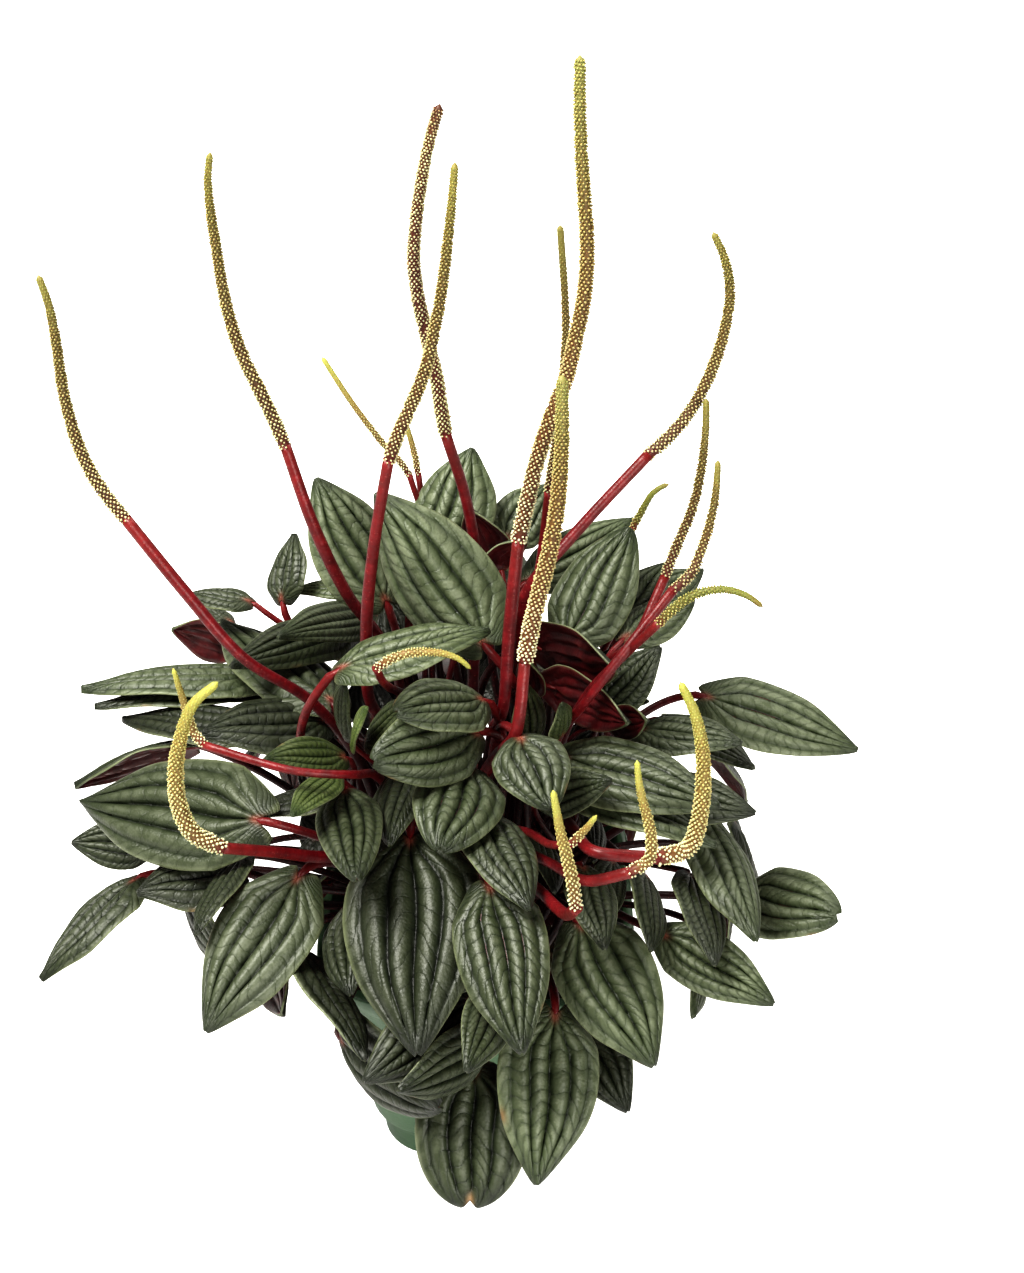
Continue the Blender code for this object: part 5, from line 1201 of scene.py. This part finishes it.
# Soil: the pot's inside a gap away, and a low mound whose height is crumbs of three sizes.
def soilShape():
    inset = -2.0 * (pot["wall"] + pot["gap"])
    foot, step, top = pot["footWidth"], pot["footHeight"], soil["top"]
    edge = potWidth(top) + inset - soil["loose"]
    sides = [(foot + inset - 1.0, pot["floor"] + pot["gap"]), (foot + 1.0 + inset - 0.6, step - 0.6),
             (potWidth(step + 2.0) + inset - soil["loose"], step + 2.4), (edge, top - 1.0)]
    share = np.linspace(1.0, 0.02, soil["rings"])
    mound = np.stack([evenSquare(edge * part, 0.0) for part in share])
    coarse, middling, broad = (wander(mound[..., :2], length, seed) for length, seed in soil["crumbs"])
    crumbs = coarse ** 2 + 0.7 * middling ** 2 + 0.5 * broad
    share = share[:, None]
    mound[..., 2] = (top + soil["crown"] * (1.0 - share ** 2) * 0.9
                     + soil["crumb"] * (crumbs - 0.6) * smoothStep(1.0, 0.93, share))
    rings = np.concatenate([np.stack([evenSquare(width, z) for width, z in sides]), mound])
    return loft(rings, {"crumb": np.zeros(rings.shape[:2])}, np.zeros(rings.shape[1], int))


# ---- materials

# Nodes in one tree. Wherever a value is asked for, a number, a colour or another node's socket will do.
class Nodes:
    def __init__(self, tree):
        self.tree = tree

    def feed(self, socket, value):
        if isinstance(value, (int, float)):
            socket.default_value = value
        elif isinstance(value, tuple):
            socket.default_value = (*value, 1.0)
        else:
            self.tree.links.new(value, socket)

    def add(self, kind, settings=None, **values):
        node = self.tree.nodes.new("ShaderNode" + kind)
        for key, value in (settings or {}).items():
            setattr(node, key, value)
        for key, value in values.items():
            self.feed(node.inputs[key], value)
        return node

    def maths(self, operation, *values, clamp=False):
        node = self.add("Math", {"operation": operation, "use_clamp": clamp})
        for socket, value in zip(node.inputs, values):
            self.feed(socket, value)
        return node.outputs[0]

    def plus(self, first, second, clamp=False):
        return self.maths("ADD", first, second, clamp=clamp)

    def minus(self, first, second, clamp=False):
        return self.maths("SUBTRACT", first, second, clamp=clamp)

    def times(self, first, second, clamp=False):
        return self.maths("MULTIPLY", first, second, clamp=clamp)

    # A value times a span, plus what it is where the value is nought.
    def spread(self, value, span, least):
        return self.maths("MULTIPLY_ADD", value, span, least)

    def blend(self, share, first, second):
        node = self.add("Mix", {"data_type": "RGBA", "blend_type": "MIX", "clamp_factor": True})
        for place, value in ((0, share), (6, first), (7, second)):
            self.feed(node.inputs[place], value)
        return node.outputs[2]

    def ramp(self, share, stops):
        node = self.add("ValToRGB", Fac=share)
        while len(node.color_ramp.elements) < len(stops):
            node.color_ramp.elements.new(0.5)
        for element, (place, colour) in zip(node.color_ramp.elements, stops):
            element.position = place
            element.color = (*colour, 1.0)
        return node.outputs[0]

    def lightened(self, colour, value):
        return self.add("HueSaturation", Color=colour, Value=value).outputs[0]

    def mark(self, name, socket="Fac"):
        return self.add("Attribute", {"attribute_name": name}).outputs[socket]

    def effect(self, name, vector, **values):
        node = self.tree.nodes.new("ShaderNodeGroup")
        node.node_tree = groups[name]
        for key, value in {"Vector": vector, **values}.items():
            self.feed(node.inputs[key], value)
        return node.outputs[0]


# A shader group that takes a vector and some named numbers, and gives one number.
class Group(Nodes):
    def __init__(self, name, output, **inputs):
        super().__init__(bpy.data.node_groups.new(name, "ShaderNodeTree"))
        number, newSocket = "NodeSocketFloat", self.tree.interface.new_socket
        newSocket(name="Vector", in_out="INPUT", socket_type="NodeSocketVector")
        for label, value in inputs.items():
            newSocket(name=label, in_out="INPUT", socket_type=number).default_value = value
        newSocket(name=output, in_out="OUTPUT", socket_type=number)
        self.given = self.tree.nodes.new("NodeGroupInput").outputs
        self.result = self.tree.nodes.new("NodeGroupOutput").inputs[0]

    # A texture at the group's vector, at its scale times so much.
    def texture(self, kind, settings=None, finer=None, **values):
        scale = self.given["Scale"] if finer is None else self.times(self.given["Scale"], finer)
        return self.add("Tex" + kind, settings, Vector=self.given["Vector"], Scale=scale, **values)

    def finish(self, value):
        self.feed(self.result, value)
        return self.tree


# Cloudy patches of one size: a noise about one half, stretched by its contrast.
def makeMottle():
    group = Group("mottle", "Value", Scale=300.0, Contrast=1.5)
    noise = group.texture("Noise", Detail=4.0, Roughness=0.6)
    stretched = group.times(group.minus(noise.outputs[0], 0.5), group.given["Contrast"])
    return group.finish(group.plus(stretched, 0.5, clamp=True))


# Skin: rounded cells over a finer noise, as a height for a bump.
def makeSkin():
    group = Group("skin", "Height", Scale=1500.0, Grain=0.4)
    cells = group.texture("Voronoi", {"feature": "SMOOTH_F1"}, Smoothness=0.6)
    noise = group.texture("Noise", finer=2.3, Detail=3.0)
    rounded = group.minus(1.0, cells.outputs["Distance"])
    return group.finish(group.plus(rounded, group.times(noise.outputs[0], group.given["Grain"])))


# Small pale specks: cells of a Voronoi texture nearer than a size, softened at their edges.
def makeSpecks():
    group = Group("specks", "Mask", Scale=900.0, Size=0.2, Edge=9.0)
    cells = group.texture("Voronoi", Randomness=1.0)
    near = group.minus(group.given["Size"], cells.outputs["Distance"])
    return group.finish(group.times(near, group.given["Edge"], clamp=True))


# Puckers between fine slanting veins: a bent sine of the way across them, folded upwards.
def makeVeins():
    group = Group("veins", "Height", Way=0.0, Scale=300.0, Bend=1.6, Sharpness=0.30)
    noise = group.texture("Noise", Detail=2.0)
    bend = group.times(group.minus(noise.outputs[0], 0.5), group.given["Bend"])
    angle = group.plus(group.times(group.given["Way"], math.pi), bend)
    folded = group.maths("ABSOLUTE", group.maths("SINE", angle))
    return group.finish(group.maths("POWER", folded, group.given["Sharpness"]))


groups = {"mottle": makeMottle(), "skin": makeSkin(), "specks": makeSpecks(), "veins": makeVeins()}


# A material whose look gives its shader's fixed values, its clouds and its skin. Its place is the
# shapes' own where they have one, and else the object's.
class Paint(Nodes):
    def __init__(self, name, look, ownPlace=False):
        self.material = bpy.data.materials.new(name)
        self.material.use_nodes = True
        super().__init__(self.material.node_tree)
        self.look, self.shader = look, self.tree.nodes["Principled BSDF"].inputs
        for key, value in look["shader"].items():
            self.feed(self.shader[key], value)
        if "clouds" in look:
            self.place = (self.mark("place", "Vector") if ownPlace
                          else self.add("TexCoord").outputs["Object"])
            self.clouds = self.effect("mottle", self.place, **look["clouds"])
        if "roughSpread" in look:
            rough = self.spread(self.clouds, look["roughSpread"], look["shader"]["Roughness"])
            self.feed(self.shader["Roughness"], rough)

    # Lays the look's paints over a colour, each by a share of its mark.
    def over(self, colour):
        for name, share in self.look["over"].items():
            colour = self.blend(self.times(self.mark(name), share), colour, self.look[name])
        return colour

    # Specks of one of the look's paints over a colour.
    def specked(self, colour, share=1.0):
        specks = self.effect("specks", self.place, **self.look["specks"])
        return self.blend(self.times(specks, share), colour, self.look["speck"])

    def finish(self, colour, relief=None):
        height = self.effect("skin", self.place, **self.look["skin"])
        if relief is not None:
            height = self.plus(self.times(height, self.look["skinShare"]), relief)
        bump = self.add("Bump", Distance=self.look["bump"], Height=height)
        self.feed(self.shader["Base Color"], colour)
        self.feed(self.shader["Normal"], bump.outputs[0])
        return self.material


leafPaint = {
    # Both ramps run from the sunken veins up to the ridge tops: near black in the grooves, partly their
    # own dark green and partly painted shade; palest on the crests, partly their silver and partly a
    # painted highlight.
    "dark": ((0.0, (0.0012, 0.0020, 0.0006)), (0.35, (0.0075, 0.0115, 0.0042)),
             (0.70, (0.021, 0.028, 0.012)), (0.92, (0.033, 0.041, 0.020)), (1.0, (0.050, 0.059, 0.034))),
    # Painted light: the same leaf as lit, blended in by its share of painted light; the ramp above is it
    # as in shade.
    "paintedLight": ((0.0, (0.005, 0.010, 0.003)), (0.35, (0.032, 0.045, 0.019)), (0.70, (0.075, 0.095, 0.048)),
             (0.92, (0.106, 0.128, 0.072)), (1.0, (0.165, 0.190, 0.120))),
    "young": ((0.0, (0.010, 0.022, 0.004)), (0.35, (0.035, 0.062, 0.011)), (0.75, (0.075, 0.110, 0.025)),
              (1.0, (0.140, 0.180, 0.055))),
    # The rim's paler line along the edge: partly the margin's own paler colour, partly a painted
    # highlight where the edge catches light.
    "rim": (0.240, 0.270, 0.155), "blush": (0.240, 0.070, 0.045), "scar": (0.190, 0.115, 0.050),
    # On the next line, last: how much the painted shade darkens a leaf deep in the bush.
    "over": {"rim": 0.7, "blush": 0.8, "scar": 1.0}, "toneLift": 0.14, "paintedShade": 0.75,
    "shader": {"Roughness": 0.41, "Specular IOR Level": 0.50, "Coat Roughness": 0.30},
    "roughSpread": 0.18, "coat": 0.06, "clouds": {"Scale": 230.0, "Contrast": 1.6}, "cloudLift": 0.34,
    "fine": {"Scale": 1900.0, "Contrast": 1.3}, "fineLift": 0.16, "veins": {"Scale": 260.0},
    "veinDark": 0.50, "skin": {"Scale": 1500.0, "Grain": 0.5}, "skinShare": 0.00011 / 0.00019,
    "bump": 0.00019,
}


# Dark in the veins and paler up the ridges, with clouds: the veins' own darker green with painted shade
# in the sunken grooves, and the ridges' silver with a painted highlight on their crests. Rim, petiole's
# foot and scars lie over.
def makeLeafTop():
    look, paint = leafPaint, Paint("leafTop", leafPaint, ownPlace=True)
    ridge, paintedLight, young, tone = (paint.mark(name) for name in ("ridge", "paintedLight", "young", "tone"))
    fine = paint.effect("mottle", paint.place, **look["fine"])
    uneven = paint.spread(paint.clouds, look["cloudLift"], -0.5 * look["cloudLift"])
    finer = paint.spread(fine, look["fineLift"], -0.5 * look["fineLift"])
    veins = paint.effect("veins", paint.place, Way=paint.mark("vein"), **look["veins"])
    # The fine veins' creases are darkened, partly their own darker green and partly painted shade in the
    # creases.
    sunk = paint.times(paint.times(paint.minus(1.0, veins), look["veinDark"]), paint.mark("quilt"))
    height = paint.plus(paint.plus(paint.minus(ridge, sunk), uneven), finer, clamp=True)
    # Painted light and shade: each leaf is blended from its shaded ramp to its lit one.
    colour = paint.blend(paintedLight, paint.ramp(height, look["dark"]), paint.ramp(height, look["paintedLight"]))
    colour = paint.blend(young, colour, paint.ramp(height, look["young"]))
    lift = paint.spread(tone, look["toneLift"], 1.0)
    # Painted shade: a leaf deep in the bush is darkened by its share.
    lift = paint.minus(lift, paint.times(paint.mark("paintedShade"), look["paintedShade"]))
    paint.feed(paint.shader["Coat Weight"], paint.times(ridge, look["coat"]))
    return paint.finish(paint.over(paint.lightened(colour, lift)), relief=veins)


underPaint = {
    "red": ((0.0, (0.030, 0.003, 0.004)), (0.5, (0.068, 0.007, 0.009)), (1.0, (0.125, 0.017, 0.018))),
    # The underside's rim is painted paler the same way: partly its own margin, partly a painted
    # highlight.
    "vein": (0.110, 0.032, 0.020), "veinBelow": 0.42, "rim": (0.120, 0.070, 0.045), "over": {"rim": 0.6},
    "shader": {"Roughness": 0.42, "Specular IOR Level": 0.5}, "clouds": {"Scale": 260.0, "Contrast": 1.8},
    "skin": {"Scale": 1500.0, "Grain": 0.5}, "bump": 0.00006,
}


def makeLeafUnder():
    look, paint = underPaint, Paint("leafUnder", underPaint, ownPlace=True)
    vein = paint.minus(look["veinBelow"], paint.mark("ridge"), clamp=True)
    colour = paint.blend(vein, paint.ramp(paint.clouds, look["red"]), look["vein"])
    return paint.finish(paint.over(colour))


stalkPaint = {
    "red": ((0.0, (0.045, 0.002, 0.004)), (0.5, (0.108, 0.003, 0.007)), (1.0, (0.200, 0.011, 0.016))),
    "pink": (0.260, 0.040, 0.032), "pinkShare": 0.35, "pinkPower": 6.0,
    # Painted shade: the near-black laid over the red deep in the bush.
    "paintedShade": (0.014, 0.0012, 0.0020), "over": {"paintedShade": 0.94},
    "speck": (0.320, 0.075, 0.065), "specks": {"Scale": 1100.0, "Size": 0.22}, "speckShare": 0.45,
    "shader": {"Roughness": 0.40, "Specular IOR Level": 0.4}, "clouds": {"Scale": 330.0, "Contrast": 1.8},
    "skin": {"Scale": 1200.0, "Grain": 0.6}, "bump": 0.00008,
}


# Pinker towards the blade, and painted nearly black deep in the bush, as the shade there.
def makeStalkRed():
    look, paint = stalkPaint, Paint("stalkRed", stalkPaint, ownPlace=True)
    pink = paint.times(paint.maths("POWER", paint.mark("blush"), look["pinkPower"]), look["pinkShare"])
    colour = paint.blend(pink, paint.ramp(paint.clouds, look["red"]), look["pink"])
    return paint.finish(paint.specked(paint.over(colour), look["speckShare"]))


spikePaint = {
    "foot": (0.120, 0.016, 0.012), "drift": 0.22, "beadEdge": 1.4, "toneLift": 0.16,
    "shader": {"Roughness": 0.52, "Specular IOR Level": 0.45, "Subsurface Weight": 0.10,
               "Subsurface Scale": 0.0015},
    "clouds": {"Scale": 700.0, "Contrast": 1.6}, "skin": {"Scale": 3200.0, "Grain": 0.8}, "bump": 0.00005,
}

# For each kind of spike: the core's colours from foot to tip, then the florets'.
spikeColours = {
    "olive": (((0.0, (0.080, 0.026, 0.011)), (0.35, (0.090, 0.044, 0.013)), (0.75, (0.120, 0.086, 0.022)),
               (1.0, (0.220, 0.195, 0.050))),
              ((0.0, (0.560, 0.520, 0.300)), (0.35, (0.420, 0.370, 0.180)), (0.75, (0.280, 0.235, 0.090)),
               (1.0, (0.310, 0.290, 0.085)))),
    "brown": (((0.0, (0.090, 0.018, 0.010)), (0.50, (0.095, 0.020, 0.012)), (0.90, (0.110, 0.040, 0.018)),
               (1.0, (0.080, 0.028, 0.013))),
              ((0.0, (0.520, 0.500, 0.280)), (0.50, (0.520, 0.470, 0.290)), (0.90, (0.500, 0.470, 0.260)),
               (1.0, (0.200, 0.110, 0.055)))),
    "gold": (((0.0, (0.140, 0.060, 0.020)), (0.30, (0.190, 0.120, 0.040)), (0.65, (0.260, 0.190, 0.060)),
              (1.0, (0.390, 0.390, 0.090))),
             ((0.0, (0.680, 0.660, 0.430)), (0.25, (0.540, 0.500, 0.260)), (0.60, (0.430, 0.380, 0.150)),
              (1.0, (0.390, 0.390, 0.100)))),
    "green": (((0.0, (0.110, 0.075, 0.020)), (0.40, (0.130, 0.130, 0.028)), (0.80, (0.175, 0.180, 0.040)),
               (1.0, (0.200, 0.150, 0.040))),
              ((0.0, (0.400, 0.370, 0.160)), (0.40, (0.260, 0.260, 0.080)), (0.80, (0.210, 0.215, 0.055)),
               (1.0, (0.210, 0.170, 0.050)))),
    "ochre": (((0.0, (0.120, 0.042, 0.016)), (0.30, (0.115, 0.050, 0.016)), (0.70, (0.130, 0.080, 0.025)),
               (1.0, (0.240, 0.230, 0.075))),
              ((0.0, (0.700, 0.680, 0.460)), (0.25, (0.480, 0.410, 0.210)), (0.60, (0.360, 0.290, 0.120)),
               (1.0, (0.330, 0.320, 0.110)))),
}


def makeSpike(name, core, floret):
    look, paint = spikePaint, Paint(name, spikePaint)
    cloudy = paint.times(paint.minus(paint.clouds, 0.5), look["drift"])
    drift = paint.plus(paint.mark("share"), cloudy, clamp=True)
    bead = paint.times(paint.mark("bead"), look["beadEdge"], clamp=True)
    colour = paint.blend(bead, paint.ramp(drift, core), paint.ramp(drift, floret))
    colour = paint.lightened(colour, paint.spread(paint.mark("tone"), look["toneLift"], 1.0))
    red = paint.times(paint.mark("foot"), paint.minus(1.0, bead))
    return paint.finish(paint.blend(red, colour, look["foot"]))


potPaint = {
    "green": ((0.0, (0.040, 0.082, 0.044)), (0.5, (0.058, 0.115, 0.060)), (1.0, (0.082, 0.150, 0.082))),
    "speck": (0.180, 0.165, 0.120), "specks": {"Scale": 260.0, "Size": 0.10}, "speckShare": 0.35,
    "shader": {"Roughness": 0.32, "Specular IOR Level": 0.5}, "roughSpread": 0.16,
    "clouds": {"Scale": 60.0, "Contrast": 1.8}, "skin": {"Scale": 900.0, "Grain": 0.8}, "bump": 0.00005,
}


def makePotPlastic():
    paint = Paint("potPlastic", potPaint)
    colour = paint.ramp(paint.clouds, potPaint["green"])
    return paint.finish(paint.specked(colour, potPaint["speckShare"]))


soilPaint = {
    "brown": ((0.0, (0.010, 0.007, 0.005)), (0.45, (0.035, 0.022, 0.014)), (0.8, (0.085, 0.055, 0.034)),
              (1.0, (0.170, 0.120, 0.080))),
    "speck": (0.620, 0.600, 0.550), "specks": {"Scale": 190.0, "Size": 0.20},
    "shader": {"Roughness": 0.92, "Specular IOR Level": 0.2}, "clouds": {"Scale": 520.0, "Contrast": 2.6},
    "skin": {"Scale": 700.0, "Grain": 1.5}, "bump": 0.0006,
}


def makeSoilCrumb():
    paint = Paint("soilCrumb", soilPaint)
    return paint.finish(paint.specked(paint.ramp(paint.clouds, soilPaint["brown"])))


leafMaterials = [makeLeafTop(), makeLeafUnder(), makeStalkRed()]
spikeMaterials = {kind: makeSpike("floret_" + kind, *colours) for kind, colours in spikeColours.items()}
stage("materials made")


# ---- the plant

def dress(piece, node):
    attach(piece, "root")
    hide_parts(node)


def cutDrains(piece):
    cutters = bpy.data.collections.new("cutters")
    bpy.context.scene.collection.children.link(cutters)
    reach = pot["drainPlace"] * mm
    for x, y in itertools.product((-reach, reach), repeat=2):
        bpy.ops.mesh.primitive_cylinder_add(vertices=32, radius=pot["drainRadius"] * mm,
                                            depth=3 * pot["floor"] * mm, location=(x, y, 0.0))
        hole = bpy.context.object
        hole.users_collection[0].objects.unlink(hole)
        cutters.objects.link(hole)
    cut = piece.modifiers.new("drains", "BOOLEAN")
    cut.operand_type = "COLLECTION"
    cut.collection = cutters
    cut.solver = "EXACT"
    bpy.context.view_layer.update()
    mesh = bpy.data.meshes.new_from_object(piece.evaluated_get(bpy.context.evaluated_depsgraph_get()))
    piece.modifiers.clear()
    piece.data = mesh
    for hole in list(cutters.objects):
        bpy.data.objects.remove(hole)
    bpy.data.collections.remove(cutters)


potPiece = makePiece("nursery_pot", [potShape()], [makePotPlastic()])
cutDrains(potPiece)
dress(potPiece, "pot")
soilPiece = makePiece("potting_soil", [soilShape()], [makeSoilCrumb()])
dress(soilPiece, "soil")
stage("pot and soil made")

for node in ("pot", "soil"):
    data = frame["nodes"][node].data
    corners = np.empty(len(data.vertices) * 3, np.float32)
    data.vertices.foreach_get("co", corners)
    faces = [tuple(face.vertices) for face in data.polygons]
    addPlaced("pot", (corners.reshape(-1, 3).astype(float) / mm, faces))

crownShapes = {}
for number, (name, (x, y)) in enumerate(crowns.items()):
    crownShapes[name] = [stemShape(number, (x, y))]
    line = np.array([[x, y, soil["top"] + soil["crown"] + 1.0], [x, y, stem["top"]]])
    addPlaced(name, ringTube(line, stem["radius"], stem["sides"]))

for number, (name, (crown, *_)) in enumerate(spikes.items()):
    red, beads, radius = spikeLines(name)
    redRadius = min(stalk["radius"], stalk["share"] * radius)
    addPlaced("spikes", ringTube(beads, search["roundOut"] * radius))
    addPlaced(crown + " stalks", ringTube(red, search["roundOut"] * redRadius))
    crownShapes[crown].append(stalkShape(number, red, redRadius))
    piece = makePiece("florets_" + name, spikeShapes(name, number, red, beads, radius),
                      [spikeMaterials[spikeKinds[name][2]]])
    dress(piece, "spike_" + name)
stage("flower spikes made")


grown = itertools.count()


def growLeaf(name, base, tip, normal, width, slide):
    number = next(grown)
    found = clearPlace(base, tip, normal, width, slide)
    if found is None:
        print("no room:", name)
        return
    crown, axes, here, length, bladeWidth, curve = found
    leaf, under = bladeShape(name, number, axes, here, length, bladeWidth)
    crownShapes[crown] += [leaf, petioleShape(number, under, length, width, curve)]


# The outer and the wide leaves of a table first.
def growTable(table):
    for name in sorted(table, key=lambda name: -table[name][3] - search["wideFirst"] * table[name][2]):
        base, tip, normal, width = drawnLeaf(*table[name])
        growLeaf(name, base, tip, normal, width, unit(eye - base))


def growRow(name, draw, row):
    for number, (base, tip, normal, width) in enumerate(farLeaves(draw, *row)):
        growLeaf(f"{name}_{number + 1:02d}", base, tip, normal, width, unit(base - dome["centre"]))


farDraw = np.random.default_rng(back["seed"])
growTable(leaves)
growRow("back", farDraw, back["row"])
growTable(deepLeaves)
growRow("back_high", farDraw, back["highRow"])
stage("leaves placed")

for name, shapes in crownShapes.items():
    dress(makePiece("leaves_" + name, shapes, leafMaterials), "leafy_stem_" + name)
stage(f"leaves made, {shapesMade['triangles']} triangles in all")


# ---- floor, light and camera

# Lights: each one's power, width and place. To the camera alone, the floor glows and the world is bright.
studio = {
    "floor": 4.0, "floorGlow": 0.88, "world": 0.11, "backdrop": 1.1, "warm": (1.0, 0.982, 0.925),
    "white": (1.0, 1.0, 1.0), "look": "High Contrast", "aim": (0.0, 0.0, 0.14),
    "shader": {"Roughness": 0.7, "Specular IOR Level": 0.1, "Base Color": (0.80, 0.80, 0.80),
               "Emission Color": (1.0, 1.0, 1.0)},
    "lights": {"key": (18.3, 0.42, (-0.42, -0.15, 1.05)), "front": (10.5, 0.6, (0.42, -1.05, 0.62)),
               "back": (6.0, 0.8, (0.45, 0.75, 0.95))},
    "sensor": 36.0, "frameHeight": 1273.0, "near": 0.01,
}


def makeFloor():
    half = studio["floor"] / 2
    mesh = bpy.data.meshes.new("floor")
    mesh.from_pydata([(-half, -half, 0.0), (half, -half, 0.0), (half, half, 0.0), (-half, half, 0.0)], [],
                     [(0, 1, 2, 3)])
    floor = inScene("floor", mesh)
    paint = Paint("floorWhite", studio)
    seen = paint.add("LightPath").outputs["Is Camera Ray"]
    paint.feed(paint.shader["Emission Strength"], paint.times(seen, studio["floorGlow"]))
    mesh.materials.append(paint.material)


def makeLights():
    for name, (power, size, place) in studio["lights"].items():
        lamp = bpy.data.lights.new(name, "AREA")
        lamp.energy = power
        lamp.size = size
        lamp.color = studio["warm"]
        thing = inScene(name, lamp)
        thing.location = place
        thing.rotation_euler = (Vector(studio["aim"]) - Vector(place)).to_track_quat("-Z", "Y").to_euler()
    world = bpy.data.worlds.new("studio")
    bpy.context.scene.world = world
    world.use_nodes = True
    sky, background = Nodes(world.node_tree), world.node_tree.nodes["Background"].inputs
    seen = sky.add("LightPath").outputs["Is Camera Ray"]
    sky.feed(background[0], sky.blend(seen, studio["warm"], studio["white"]))
    sky.feed(background[1], sky.spread(seen, studio["backdrop"] - studio["world"], studio["world"]))


def makeCamera():
    camera = bpy.data.cameras.new("camera")
    camera.lens = studio["sensor"] * board["focus"] / studio["frameHeight"]
    camera.sensor_width = studio["sensor"]
    camera.sensor_fit = "AUTO"
    camera.clip_start = studio["near"]
    thing = inScene("camera", camera)
    thing.location = eye * mm
    thing.rotation_euler = (0.5 * math.pi - board["tilt"], 0.0, 0.0)
    bpy.context.scene.camera = thing


makeFloor()
makeLights()
makeCamera()
bpy.context.scene.view_settings.view_transform = "Standard"
bpy.context.scene.view_settings.look = studio["look"]
